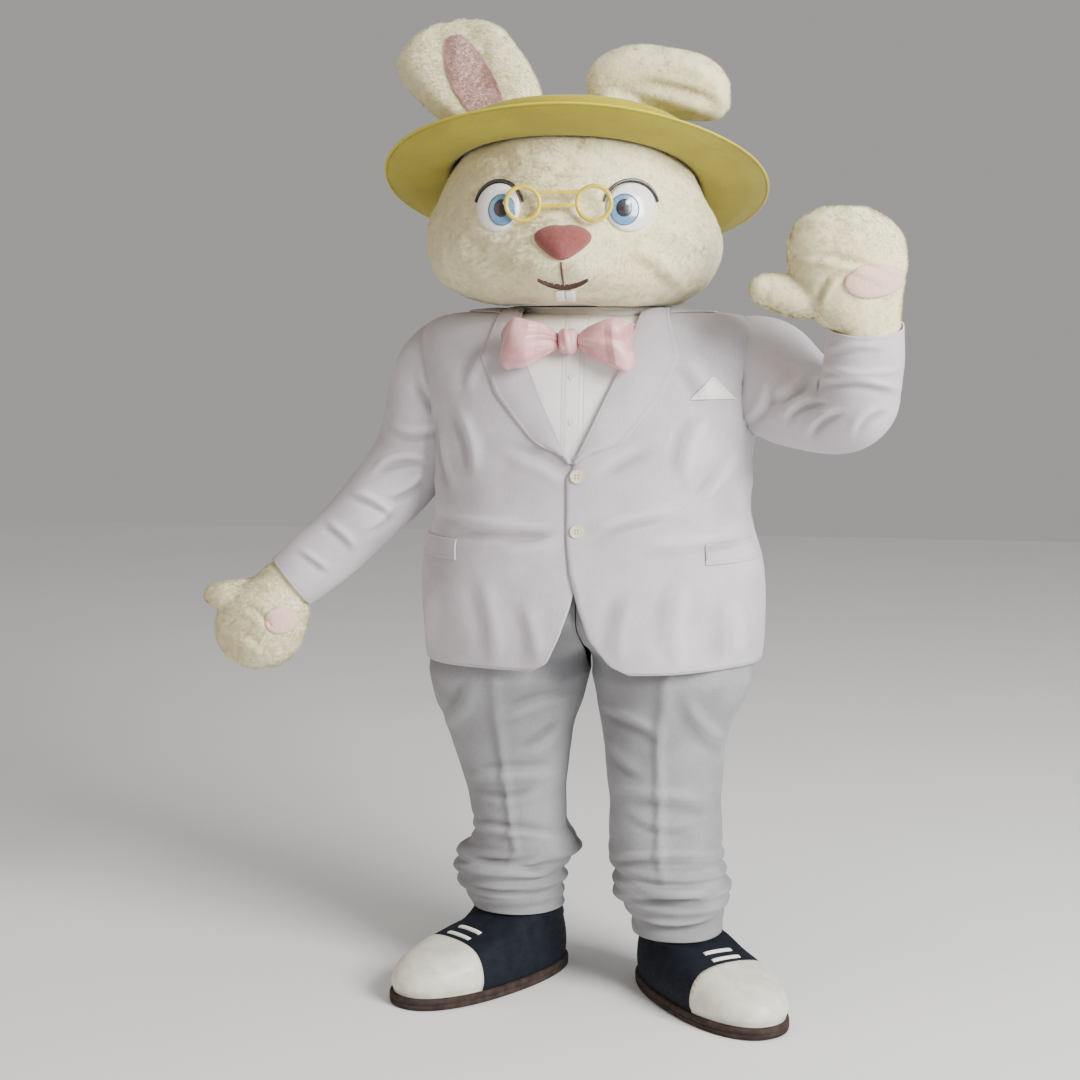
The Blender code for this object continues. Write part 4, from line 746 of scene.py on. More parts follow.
class Graph:
    """Short calls to add and link nodes in one tree."""

    def __init__(self, tree):
        self.tree = tree

    def add(self, kind, **settings):
        made = self.tree.nodes.new(kind)
        for key, value in settings.items():
            setattr(made, key, value)
        return made

    def feed(self, socket, value):
        if isinstance(value, bpy.types.NodeSocket):
            self.tree.links.new(value, socket)
        elif isinstance(value, (tuple, list)) and len(value) == 3 and socket.type == "RGBA":
            socket.default_value = (*value, 1.0)
        else:
            socket.default_value = value

    def maths(self, operation, first, second=0.0, clamp=False):
        made = self.add("ShaderNodeMath", operation=operation, use_clamp=clamp)
        self.feed(made.inputs[0], first)
        self.feed(made.inputs[1], second)
        return made.outputs[0]

    def noise(self, vector, scale, detail=3.0, rough=0.5):
        made = self.add("ShaderNodeTexNoise")
        self.feed(made.inputs["Vector"], vector)
        self.feed(made.inputs["Scale"], scale)
        self.feed(made.inputs["Detail"], detail)
        self.feed(made.inputs["Roughness"], rough)
        return made.outputs[0]

    def stretched(self, vector, scale):
        made = self.add("ShaderNodeMapping")
        self.feed(made.inputs["Vector"], vector)
        made.inputs["Scale"].default_value = scale
        return made.outputs[0]

    def remap(self, value, low, high, to_low=0.0, to_high=1.0):
        made = self.add("ShaderNodeMapRange", interpolation_type="SMOOTHSTEP")
        self.feed(made.inputs[0], value)
        for socket, number in zip(made.inputs[1:5], (low, high, to_low, to_high)):
            socket.default_value = number
        return made.outputs[0]

    def mix(self, share, first, second):
        made = self.add("ShaderNodeMix", data_type="RGBA")
        self.feed(made.inputs[0], share)
        self.feed(made.inputs[6], first)
        self.feed(made.inputs[7], second)
        return made.outputs[2]

    def objects_place(self):
        return self.add("ShaderNodeTexCoord").outputs["Object"]

    def uv(self):
        return self.add("ShaderNodeUVMap", uv_map="UVMap").outputs[0]

    def attribute(self, name):
        return self.add("ShaderNodeAttribute", attribute_name=name).outputs["Fac"]

    def group(self, made, fineness=1.0):
        placed_group = self.add("ShaderNodeGroup", node_tree=made)
        placed_group.inputs["Fineness"].default_value = fineness
        return placed_group.outputs


def weave_nodes(g, fineness):
    """Twill threads from the UVs: thread height, and a soft mottling of the yarn."""
    parts = g.add("ShaderNodeSeparateXYZ")
    g.feed(parts.inputs[0], g.uv())
    twill, weft = g.maths("MULTIPLY", fineness, 2600.0), g.maths("MULTIPLY", fineness, 3600.0)
    across = g.maths("SINE", g.maths("MULTIPLY", g.maths("ADD", parts.outputs[0], parts.outputs[1]), twill))
    along = g.maths("SINE", g.maths("MULTIPLY", parts.outputs[1], weft))
    thread = g.maths("ADD", g.maths("MULTIPLY", across, 0.35), g.maths("MULTIPLY", along, 0.25))
    place = g.objects_place()
    yarn = g.noise(g.stretched(place, (1.0, 1.0, 0.25)), g.maths("MULTIPLY", fineness, 420.0), 2.0)
    broad = g.noise(place, 9.0, 3.0)
    return g.maths("ADD", thread, yarn), yarn, broad


def stitch_nodes(g, fineness):
    """A row of stitches 6 mm inside a cloth piece's border: a mask of the threads, and one of the groove."""
    edge = g.attribute("edge")
    off = g.maths("ABSOLUTE", g.maths("SUBTRACT", edge, 0.006))
    groove = g.remap(off, 0.0004, 0.0022, 1.0, 0.0)
    line = g.remap(off, 0.0003, 0.0007, 1.0, 0.0)
    parts = g.add("ShaderNodeSeparateXYZ")
    g.feed(parts.inputs[0], g.uv())
    length = g.maths("MULTIPLY", fineness, 1900.0)
    dash = g.maths("SINE", g.maths("MULTIPLY", g.maths("ADD", parts.outputs[0], parts.outputs[1]), length))
    rim = g.remap(edge, 0.0, 0.0022, 1.0, 0.0)
    return g.maths("MULTIPLY", line, g.remap(dash, -0.5, 0.1)), groove, rim


def plush_nodes(g, fineness):
    """Pile in clumps: fine fibres, tufts and a broad shade where the pile lies another way."""
    place = g.objects_place()
    fibres = g.noise(g.stretched(place, (1.0, 1.0, 0.35)), g.maths("MULTIPLY", fineness, 900.0), 2.0)
    tufts = g.noise(place, g.maths("MULTIPLY", fineness, 95.0), 4.0, 0.62)
    broad = g.noise(place, 13.0, 3.0, 0.6)
    return fibres, tufts, broad


def felt_nodes(g, fineness):
    place = g.objects_place()
    matted = g.noise(place, g.maths("MULTIPLY", fineness, 260.0), 6.0, 0.7)
    hairs = g.noise(g.stretched(place, (1.0, 0.2, 1.0)), 1100.0, 2.0)
    broad = g.noise(place, 7.0, 3.0)
    return matted, hairs, broad


def new_look(slot, rough, **constants):
    """A material with its shader: (material, graph, shader)."""
    made = bpy.data.materials.new(f"look_{slot}")
    made.use_nodes = True
    graph = Graph(made.node_tree)
    shader = made.node_tree.nodes["Principled BSDF"]
    shader.inputs["Roughness"].default_value = rough
    for key, value in constants.items():
        shader.inputs[key.replace("_", " ").title().replace("Ior", "IOR")].default_value = value
    return made, graph, shader


def bumped(graph, shader, height, distance, strength=1.0):
    bump = graph.add("ShaderNodeBump")
    bump.inputs["Strength"].default_value = strength
    bump.inputs["Distance"].default_value = distance
    graph.feed(bump.inputs["Height"], height)
    graph.feed(shader.inputs["Normal"], bump.outputs[0])


def cached(slot, build):
    def look():
        return bpy.data.materials.get(f"look_{slot}") or build(slot)

    return look


def cloth_look(dark, light, rough, stitch, fineness=1.0, weave=0.00035):
    """Woven cloth: painted highlight on fold ridges, painted shade in fold troughs and seam grooves, worn
    lighter on rims, with a row of stitches.
    """

    def build(slot):
        made, g, shader = new_look(slot, rough)
        weave_group = node_group("weave", ("thread", "yarn", "broad"), weave_nodes)
        threads, yarn, broad = g.group(weave_group, fineness)
        sewn, groove, rim = g.group(node_group("stitch", ("sewn", "groove", "rim"), stitch_nodes))
        raised = g.attribute("raised")
        # Painted highlight on the fold ridges and painted shade in the fold troughs, both taken from the fold
        # height.
        ridge = g.remap(raised, 0.0005, 0.0045, 0.0, 0.5)
        trough = g.remap(raised, -0.0042, -0.0004, 0.55, 0.0)
        base = g.mix(g.remap(broad, 0.3, 0.7), dark, light)
        deeper = tuple(c * 0.72 for c in dark)
        base = g.mix(g.maths("MULTIPLY", g.remap(yarn, 0.35, 0.65), 0.22), base, deeper)
        base = g.mix(ridge, base, tuple(min(0.95, c * 1.14) for c in light))
        base = g.mix(trough, base, tuple(c * 0.62 for c in dark))
        # Painted shade in the seam's groove beside the stitches.
        base = g.mix(g.maths("MULTIPLY", groove, 0.28 * stitch), base, tuple(c * 0.6 for c in dark))
        base = g.mix(g.maths("MULTIPLY", sewn, 0.7 * stitch), base, tuple(min(0.95, c * 1.1) for c in light))
        base = g.mix(g.maths("MULTIPLY", rim, 0.35), base, tuple(min(0.95, c * 1.2) for c in light))
        g.feed(shader.inputs["Base Color"], base)
        g.feed(shader.inputs["Roughness"], g.remap(yarn, 0.2, 0.8, rough - 0.08, min(1.0, rough + 0.08)))
        height = g.maths("ADD", g.maths("MULTIPLY", threads, 0.3), g.maths("MULTIPLY", groove, -1.4 * stitch))
        height = g.maths("ADD", height, g.maths("MULTIPLY", sewn, 1.5 * stitch))
        bumped(g, shader, height, weave)
        shader.inputs["Sheen Weight"].default_value = 0.12
        shader.inputs["Specular IOR Level"].default_value = 0.25
        return made

    return build


def plush_look(dark, light, deep, rim=None, fineness=1.0):
    """Short pile: the strands' own tone where they have one, clumps elsewhere, and shade in the hollows."""

    def build(slot):
        made, g, shader = new_look(slot, 0.95)
        pile_group = node_group("plush", ("fibres", "tufts", "broad"), plush_nodes)
        fibres, tufts, broad = g.group(pile_group, fineness)
        base = g.mix(g.remap(broad, 0.28, 0.72), dark, light)
        base = g.mix(g.maths("MULTIPLY", g.remap(tufts, 0.42, 0.66, 1.0, 0.0), 0.26), base, deep)
        base = g.mix(g.maths("MULTIPLY", g.remap(fibres, 0.4, 0.62), 0.3), base,
                     tuple(min(0.97, c * 1.12) for c in light))
        tone = g.attribute("tone")
        base = g.mix(g.remap(tone, 0.02, 0.5, 0.0, 0.35), base, tuple(min(0.97, c * 1.15) for c in light))
        base = g.mix(g.remap(tone, -0.5, -0.02, 0.4, 0.0), base, deep)
        base = g.mix(g.remap(g.attribute("raised"), -0.0040, -0.0002, 0.5, 0.0), base, deep)
        if rim:
            base = g.mix(g.remap(g.attribute("edge"), 0.004, 0.020, 0.8, 0.0), base, rim)
        g.feed(shader.inputs["Base Color"], base)
        height = g.maths("ADD", g.maths("MULTIPLY", fibres, 0.6), g.maths("MULTIPLY", tufts, 1.6))
        bumped(g, shader, height, 0.0014, 0.7)
        shader.inputs["Sheen Weight"].default_value = 0.16
        shader.inputs["Sheen Roughness"].default_value = 0.6
        shader.inputs["Specular IOR Level"].default_value = 0.15
        return made

    return build


def felt_look(dark, light, deep):
    def build(slot):
        made, g, shader = new_look(slot, 0.9)
        matted, hairs, broad = g.group(node_group("felt", ("matted", "hairs", "broad"), felt_nodes))
        base = g.mix(g.remap(broad, 0.3, 0.7), dark, light)
        base = g.mix(g.maths("MULTIPLY", g.remap(matted, 0.4, 0.62, 1.0, 0.0), 0.35), base, deep)
        lifted, worn = tuple(c * 1.3 for c in light), tuple(c * 1.5 for c in light)
        base = g.mix(g.maths("MULTIPLY", g.remap(hairs, 0.55, 0.7), 0.25), base, lifted)
        # Paler rim along the brim's edge with the worn tone: edge wear and a painted highlight.
        base = g.mix(g.remap(g.attribute("edge"), 0.0008, 0.0035, 0.55, 0.0), base, worn)
        g.feed(shader.inputs["Base Color"], base)
        g.feed(shader.inputs["Roughness"], g.remap(matted, 0.3, 0.7, 0.82, 0.98))
        sewn, groove, _ = g.group(node_group("stitch", ("sewn", "groove", "rim"), stitch_nodes))
        height = g.maths("ADD", matted, g.maths("MULTIPLY", hairs, 0.5))
        height = g.maths("ADD", height, g.maths("MULTIPLY", groove, -1.2))
        bumped(g, shader, g.maths("ADD", height, g.maths("MULTIPLY", sewn, 1.3)), 0.0009)
        shader.inputs["Sheen Weight"].default_value = 0.25
        shader.inputs["Specular IOR Level"].default_value = 0.2
        return made

    return build


def satin_look(dark, light):
    def build(slot):
        made, g, shader = new_look(slot, 0.30)
        place = g.objects_place()
        slub = g.noise(g.stretched(place, (0.15, 1.0, 1.0)), 900.0, 2.0)
        broad = g.noise(place, 22.0, 3.0)
        base = g.mix(g.remap(broad, 0.3, 0.7), dark, light)
        base = g.mix(g.maths("MULTIPLY", g.remap(slub, 0.35, 0.65), 0.18), base, tuple(c * 0.8 for c in dark))
        g.feed(shader.inputs["Base Color"], base)
        g.feed(shader.inputs["Roughness"], g.remap(slub, 0.2, 0.8, 0.25, 0.42))
        bumped(g, shader, slub, 0.0003)
        shader.inputs["Sheen Weight"].default_value = 0.2
        return made

    return build


def hard_look(dark, light, rough, coat=0.0, grain=0.0004, scale=60.0, scuffs=0.2, worn=None):
    """Painted, moulded or coated finish: mottling, fine grain and scuffs, paler where it is worn."""

    def build(slot):
        made, g, shader = new_look(slot, rough)
        place = g.objects_place()
        broad = g.noise(place, scale, 3.0)
        fine = g.noise(place, scale * 14, 3.0, 0.6)
        marks = g.noise(g.stretched(place, (1.0, 0.3, 2.0)), scale * 3, 5.0, 0.7)
        base = g.mix(g.remap(broad, 0.3, 0.7), dark, light)
        pale = worn or tuple(min(0.95, c * 1.25 + 0.01) for c in light)
        base = g.mix(g.maths("MULTIPLY", g.remap(marks, 0.56, 0.72), scuffs), base, pale)
        base = g.mix(g.maths("MULTIPLY", g.remap(fine, 0.55, 0.75), 0.15), base, tuple(c * 0.8 for c in dark))
        g.feed(shader.inputs["Base Color"], base)
        g.feed(shader.inputs["Roughness"], g.remap(marks, 0.35, 0.7, rough, min(1.0, rough + 0.18)))
        bumped(g, shader, g.maths("ADD", fine, g.maths("MULTIPLY", marks, 0.4)), grain, 0.7)
        shader.inputs["Coat Weight"].default_value = coat
        shader.inputs["Specular IOR Level"].default_value = 0.5 if coat else 0.2
        shader.inputs["Coat Roughness"].default_value = 0.08
        return made

    return build


def iris_look(dark, light):
    """Streaks from the pupil outwards over a dark outer ring, from the UVs: share of the radius is v."""

    def build(slot):
        made, g, shader = new_look(slot, 0.12)
        parts = g.add("ShaderNodeSeparateXYZ")
        g.feed(parts.inputs[0], g.uv())
        place = g.objects_place()
        streak = g.noise(g.stretched(g.uv(), (400.0, 40.0, 1.0)), 1.0, 3.0)
        cloudy = g.noise(place, 260.0, 3.0)
        base = g.mix(g.remap(streak, 0.35, 0.65), dark, light)
        base = g.mix(g.maths("MULTIPLY", g.remap(cloudy, 0.4, 0.65), 0.4), base, tuple(c * 0.7 for c in dark))
        sunken = tuple(c * 0.35 for c in dark)
        base = g.mix(g.remap(g.attribute("edge"), 0.0005, 0.0035, 0.8, 0.0), base, sunken)
        g.feed(shader.inputs["Base Color"], base)
        g.feed(shader.inputs["Roughness"], g.remap(cloudy, 0.3, 0.7, 0.10, 0.2))
        bumped(g, shader, streak, 0.0001)
        shader.inputs["Coat Weight"].default_value = 0.9
        shader.inputs["Coat Roughness"].default_value = 0.03
        return made

    return build


LOOKS = {slot: cached(slot, build) for slot, build in {
    "plush": plush_look((0.86, 0.78, 0.47), (0.94, 0.89, 0.61), (0.68, 0.57, 0.32)),
    "ear_pink": plush_look((0.74, 0.48, 0.44), (0.86, 0.62, 0.56), (0.52, 0.30, 0.27), (0.50, 0.28, 0.25)),
    "felt": felt_look((0.34, 0.285, 0.010), (0.44, 0.38, 0.016), (0.22, 0.175, 0.008)),
    "suit": cloth_look((0.49, 0.45, 0.49), (0.58, 0.545, 0.59), 0.86, 0.5),
    "trouser": cloth_look((0.245, 0.245, 0.262), (0.33, 0.332, 0.352), 0.86, 0.35),
    "shirt": cloth_look((0.84, 0.82, 0.795), (0.91, 0.90, 0.88), 0.8, 0.8, 1.5),
    "satin": satin_look((0.58, 0.26, 0.27), (0.77, 0.44, 0.44)),
    "eye_white": hard_look((0.82, 0.82, 0.81), (0.90, 0.90, 0.89), 0.15, 0.8, 0.0001, 50.0, 0.1),
    "iris_blue": iris_look((0.06, 0.17, 0.36), (0.22, 0.46, 0.66)),
    "black": hard_look((0.012, 0.012, 0.016), (0.03, 0.03, 0.038), 0.2, 0.4, 0.0001, 80.0, 0.15),
    "nose_rose": plush_look((0.22, 0.060, 0.052), (0.30, 0.095, 0.082), (0.12, 0.034, 0.032), fineness=1.6),
    "mouth_dark": hard_look((0.06, 0.03, 0.03), (0.11, 0.055, 0.05), 0.8, 0.0, 0.0004, 200.0, 0.3),
    "tooth": hard_look((0.80, 0.78, 0.72), (0.88, 0.87, 0.82), 0.3, 0.5, 0.0002, 120.0, 0.2),
    "frame_yellow": hard_look((0.62, 0.46, 0.03), (0.76, 0.60, 0.06), 0.3, 0.6, 0.0002, 60.0, 0.2),
    "button_yellow": hard_look((0.70, 0.66, 0.42), (0.80, 0.77, 0.55), 0.35, 0.4, 0.0003, 110.0, 0.3),
    "pad_pink": plush_look((0.80, 0.50, 0.43), (0.92, 0.66, 0.57), (0.60, 0.34, 0.30), fineness=1.4),
    "shoe_navy": hard_look((0.0035, 0.0055, 0.011), (0.007, 0.010, 0.018), 0.7, 0.0, 0.0008, 40.0, 0.25,
                           (0.030, 0.036, 0.050)),
    "shoe_cream": hard_look((0.62, 0.60, 0.50), (0.72, 0.71, 0.62), 0.5, 0.15, 0.0006, 34.0, 0.35,
                            (0.42, 0.38, 0.30)),
    "sole_dark": hard_look((0.028, 0.018, 0.015), (0.055, 0.038, 0.032), 0.8, 0.0, 0.0010, 60.0, 0.4),
    "lace": cloth_look((0.78, 0.77, 0.72), (0.86, 0.85, 0.81), 0.85, 0.0, 0.6),
}.items()}


SIGNS = {"left": 1, "right": -1}
LEGS = {"left": (LEG_LEFT, 1.0), "right": (LEG_RIGHT, -1.0)}
# Sleeves: form, folds, and the turn that puts the seam under the arm
SLEEVES = {
    "left": (SLEEVE_LEFT, SLEEVE_LEFT_FOLDS, 0.0),
    "right": (SLEEVE_RIGHT, SLEEVE_RIGHT_FOLDS, math.pi),
}
# The angle round the torso where the jacket's side seams lie
SIDE_SEAM = math.radians(97)
PILE = 0.0040  # how far the fur stands over the plush it grows on
# Fur: number of strands, length and width of each
HEAD_FUR = (112000, 0.0075, 0.0015)
EAR_FUR = (52000, 0.0070, 0.0014)
PINK_FUR = (5200, 0.0046, 0.0012)
GLOVE_FUR = (44000, 0.0066, 0.0014)
PLUSH_SINK = PILE * 0.8  # how far the ears' and gloves' skin lies under the solids' face
HEAD_FOLDS = (
    (0.095, 1.440, 0.190, 1.362, 0.018, 0.0052, 0.010),
    (0.150, 1.470, 0.235, 1.420, 0.016, 0.0036, 0.008),
    (-0.235, 1.455, -0.150, 1.372, 0.018, 0.0046, -0.010),
    (-0.205, 1.500, -0.130, 1.440, 0.018, 0.0028, -0.008),
    (-0.060, 1.345, 0.030, 1.342, 0.012, 0.0030, 0.004),
)
HEAD_BACK_FOLDS = (
    (-0.200, 1.470, 0.180, 1.455, 0.022, 0.0040, 0.020),
    (-0.160, 1.390, 0.120, 1.380, 0.020, 0.0040, -0.016),
)
GLOVE_LEFT_FOLDS = (
    (0.420, 1.418, 0.565, 1.384, 0.008, -0.0062, 0.010),
    (0.440, 1.325, 0.470, 1.385, 0.008, -0.0046, 0.006),
    (0.455, 1.455, 0.535, 1.462, 0.010, -0.0030, 0.006),
)
GLOVE_RIGHT_FOLDS = (
    (-0.655, 0.745, -0.600, 0.700, 0.008, -0.0050, 0.006),
    (-0.665, 0.690, -0.620, 0.665, 0.009, -0.0034, 0.004),
)
EAR_FOLDS = (
    (0.085, 1.752, 0.245, 1.708, 0.012, -0.0075, 0.008),
    (0.150, 1.790, 0.250, 1.745, 0.014, 0.0034, 0.008),
    (0.035, 1.740, 0.080, 1.690, 0.012, -0.0045, 0.004),
    (-0.300, 1.870, -0.270, 1.760, 0.016, 0.0032, 0.010),
    (-0.200, 1.860, -0.190, 1.740, 0.018, 0.0026, -0.010),
)
EYES = {"right": -0.140, "left": 0.100}
EYE_Z = 1.507
EYE_SIZE = (0.042, 0.044)
NOSE_Z = 1.444
NOSE_SIZE = (0.056, 0.033)  # half width and half height
MOUTH_Z, MOUTH_RISE, MOUTH_HALF = 1.363, 0.014, 0.046  # the smile's lowest point, rise and half width
BOW_Z = 1.262


def mirrored(rows, lift):
    """Fold rows on the wearer's other side, moved up a little so that the sides differ."""
    return tuple((-a, b + lift, -c, d + lift, w, h * 0.92, -e) for a, b, c, d, w, h, e in rows)


def torso_rows(count=84, over=26):
    low = row_of_height(TORSO, np.linspace(TORSO[0][0], 1.25, count))
    return np.concatenate([low, np.linspace(low[-1], 11.0, over)[1:]])[:, None]


def suit_relief(grid, seams=(False, False), **more):
    return relief(grid, False, JACKET_FOLDS, BACK_FOLDS, LOOK_SEED, seams=seams, **more)


def jacket_panel(side, part, columns=74):
    sign = SIGNS[side]
    rows = torso_rows()
    share = np.linspace(0, 1, columns)[None]
    if part == "front":
        height = rows_at(TORSO, rows)[..., 0]
        edge = angle_of_x(edge_at(height, 1 if sign > 0 else 2), rows)
        angle = edge + (sign * (SIDE_SEAM - SEAM / 0.3) - edge) * share**1.1
        seams = (False, True)
    else:
        centre = sign * (math.pi - (SEAM / 2 / TORSO[0][1]) ** (POWER / 2))
        angle = sign * (SIDE_SEAM + SEAM / 0.3) * (1 - share) + centre * share + 0 * rows
        seams = (True, True)
    lift = 0.0
    if part == "front" and sign > 0:
        lift = LAP * smooth((0.085 - torso_form(angle, rows)[..., 0]) / 0.05)
    grid, raised, edges = suit_relief(torso_point(angle, rows, lift), seams)
    middles = quad_middles(grid, False)
    armhole = inside_limb(middles.reshape(-1, 3), SLEEVES[side][0], -0.004, last=4.5)
    drop = armhole.reshape(middles.shape[:2])
    name = f"jacket_{part}_{side}"
    obj = shell(name, grid, SUIT_WALL, "suit", middle=(0, 0), drop=drop, raised=raised, edge=edges)
    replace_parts(obj, name)
    return obj


def sleeve(side):
    table, folds, turned = SLEEVES[side]
    rings = limb_rings(table, np.linspace(0, 9, 136), 112, turned=turned)
    behind = tuple((a, b + 0.008, c, d + 0.006, w * 1.1, h * 0.85, -e) for a, b, c, d, w, h, e in folds)
    grid, raised, edges = relief(rings, True, folds, behind, LOOK_SEED + 3, seams=(True, False))
    middles = quad_middles(grid, True)
    drop = inside_torso(middles.reshape(-1, 3), 0.007).reshape(middles.shape[:2])
    obj = shell(f"sleeve_{side}", grid, SUIT_WALL, "suit", closed=True, drop=drop, raised=raised, edge=edges)
    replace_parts(obj, f"sleeve_{side}")
    return obj


def lapel(side):
    sign = SIGNS[side]
    low = row_of_height(TORSO, np.linspace(APEX_Z, 1.25, 60))
    rows = np.concatenate([low, np.linspace(low[-1], 10.4, 22)[1:]])[:, None]
    height = rows_at(TORSO, rows)[..., 0]
    inner = edge_at(height, 1 if sign > 0 else 2) - sign * 0.002
    outer = sign * edge_at(height, 3)
    outer = inner + (outer - inner) * (0.10 + 0.90 * smooth((height - APEX_Z) / 0.040))
    share = np.linspace(0, 1, 40)[None]
    x = inner + (outer - inner) * share
    lift = LAP * smooth((0.085 - x) / 0.05) if sign > 0 else 0.0
    roll = 0.0034 * np.sin(math.pi * share) + 0.0012 * np.exp(-(((share - 0.93) / 0.035) ** 2))
    out = lift + LIE_ROUND + SUIT_WALL + roll
    grid, raised, edges = suit_relief(torso_point(angle_of_x(x, rows), rows, out))
    obj = shell(f"lapel_{side}", grid, SUIT_WALL, "suit", middle=(0, 0), raised=raised, edge=edges)
    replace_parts(obj, f"lapel_{side}")
    return obj


def collar_back():
    rows = np.linspace(9.7, 10.4, 14)[:, None]
    start = angle_of_x(edge_at(rows_at(TORSO, rows)[..., 0], 3), rows) + SEAM / 0.06
    angle = start + (math.tau - 2 * start) * np.linspace(0, 1, 150)[None]
    grid, raised, edges = suit_relief(torso_point(angle, rows, LIE_ROUND + SUIT_WALL))
    obj = shell("collar_back", grid, SUIT_WALL, "suit", middle=(0, 0), raised=raised, edge=edges)
    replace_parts(obj, "collar_back")
    return obj


def pocket_flap(side):
    sign = SIGNS[side]
    rows = row_of_height(TORSO, np.linspace(0.846, 0.884, 18))[:, None]
    start = angle_of_x(0.236, rows)
    angle = sign * (start + 0.62 * np.linspace(0, 1, 56)[None])
    belly = 0.0012 * np.sin(math.pi * np.linspace(0, 1, 18))[:, None]
    grid, raised, edges = suit_relief(torso_point(angle, rows, LIE + SUIT_WALL + belly))
    obj = shell(f"pocket_flap_{side}", grid, SUIT_WALL, "suit", middle=(0, 0), raised=raised, edge=edges)
    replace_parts(obj, f"pocket_flap_{side}")
    return obj


def pocket_square():
    share = np.linspace(0, 1, 30)[:, None]
    rows = row_of_height(TORSO, 1.154 + 0.042 * share)
    half = 0.038 * (1 - share) + 0.002
    across = np.linspace(-1, 1, 32)[None]
    folded = 0.0016 * np.abs(np.sin(2.6 * across + 1.3 * share)) * (1 - share)
    grid, raised, edges = suit_relief(
        torso_point(angle_of_x(0.246 + across * half, rows), rows, LIE_ROUND + SHIRT_WALL + folded))
    obj = shell("pocket_square", grid, SHIRT_WALL, "shirt", middle=(0, 0), raised=raised, edge=edges)
    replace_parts(obj, "pocket_square")
    return obj


def shirt_front():
    low = row_of_height(TORSO, np.linspace(0.965, 1.225, 64))
    rows = np.concatenate([low, np.linspace(low[-1], 10.6, 26)[1:]])[:, None]
    height = rows_at(TORSO, rows)[..., 0]
    half = np.interp(height, (0.965, 1.10, 1.25, 1.30), (0.055, 0.085, 0.132, 0.128))
    x = half * np.linspace(-1, 1, 70)[None] - 0.006
    under = SUIT_WALL + LIE_ROUND * (1.7 + 2.2 * smooth(rows - 7.0))
    placket = 0.0009 * smooth((0.017 - np.abs(x + 0.011)) / 0.0025)
    grid, raised, edges = suit_relief(torso_point(angle_of_x(x, rows), rows, placket - under))
    edges = np.minimum(edges, np.abs(0.017 - np.abs(grid[..., 0] + 0.011)) + 0.002)
    obj = shell("shirt_front", grid, SHIRT_WALL, "shirt", middle=(0, 0), raised=raised, edge=edges)
    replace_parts(obj, "shirt_front")
    return obj


def shirt_collar():
    angle = math.tau * np.arange(160) / 160
    ring = torso_form(angle, 11.0)
    heights = np.linspace(HEAD[0][2] - 0.024, HEAD[0][2] - SEAM, 14)
    inward = 1 - STAND_INSET / np.hypot(ring[:, 0], ring[:, 1])
    grid = np.stack([np.column_stack((ring[:, 0] * inward, ring[:, 1] * inward, np.full(160, h)))
                     for h in heights])
    obj = shell("shirt_collar", grid, 0.002, "shirt", closed=True, edge=edge_distance(grid, True))
    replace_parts(obj, "shirt_collar")
    return obj


def leg_point(turn, height, table, sign):
    """Points of a leg's own section: turn 0 faces front, 90 degrees outwards and -90 inwards."""
    sized = rows_at(table, row_of_height(table, np.minimum(height, table[-1][0])))
    middle_x, half_x = (sized[..., 1] + sized[..., 2]) / 2, (sized[..., 2] - sized[..., 1]) / 2
    middle_y, half_y = (sized[..., 3] + sized[..., 4]) / 2, (sized[..., 4] - sized[..., 3]) / 2
    off_front, off_back = wrapped(turn), wrapped(turn - math.pi)
    crease = 1.3 * CREASE * (np.exp(-((off_front / 0.075) ** 2)) + np.exp(-((off_back / 0.075) ** 2)))
    crease = crease * smooth((height - 0.20) / 0.10)
    x = middle_x + half_x * wave(np.sin(turn), 2.1)
    y = middle_y - half_y * wave(np.cos(turn), 2.1) - crease * np.cos(turn)
    return np.stack((sign * np.maximum(x, 0.0002), y, height + 0 * x), axis=-1)


def wrapped(turn):
    return (turn + math.pi) % math.tau - math.pi


def leg_bunch(turn, height, side):
    """Folds that gather over the shoe, uneven from leg to leg, as a distance outwards."""
    lean = 0.35 if side == "left" else -0.55
    low = np.exp(-(((height - 0.215 - 0.012 * np.sin(turn + lean)) / 0.055) ** 2))
    return 0.0055 * low * np.sin((height + 0.006 * np.sin(turn + lean)) * 210)


def leg_surface(side, turn, height):
    table, sign = LEGS[side]
    turn, height = np.broadcast_arrays(turn, height)
    point = leg_point(turn, height, table, sign)
    out = leg_bunch(turn, height, side)
    return point + np.stack((sign * out * np.sin(turn), -out * np.cos(turn), 0 * out), axis=-1)


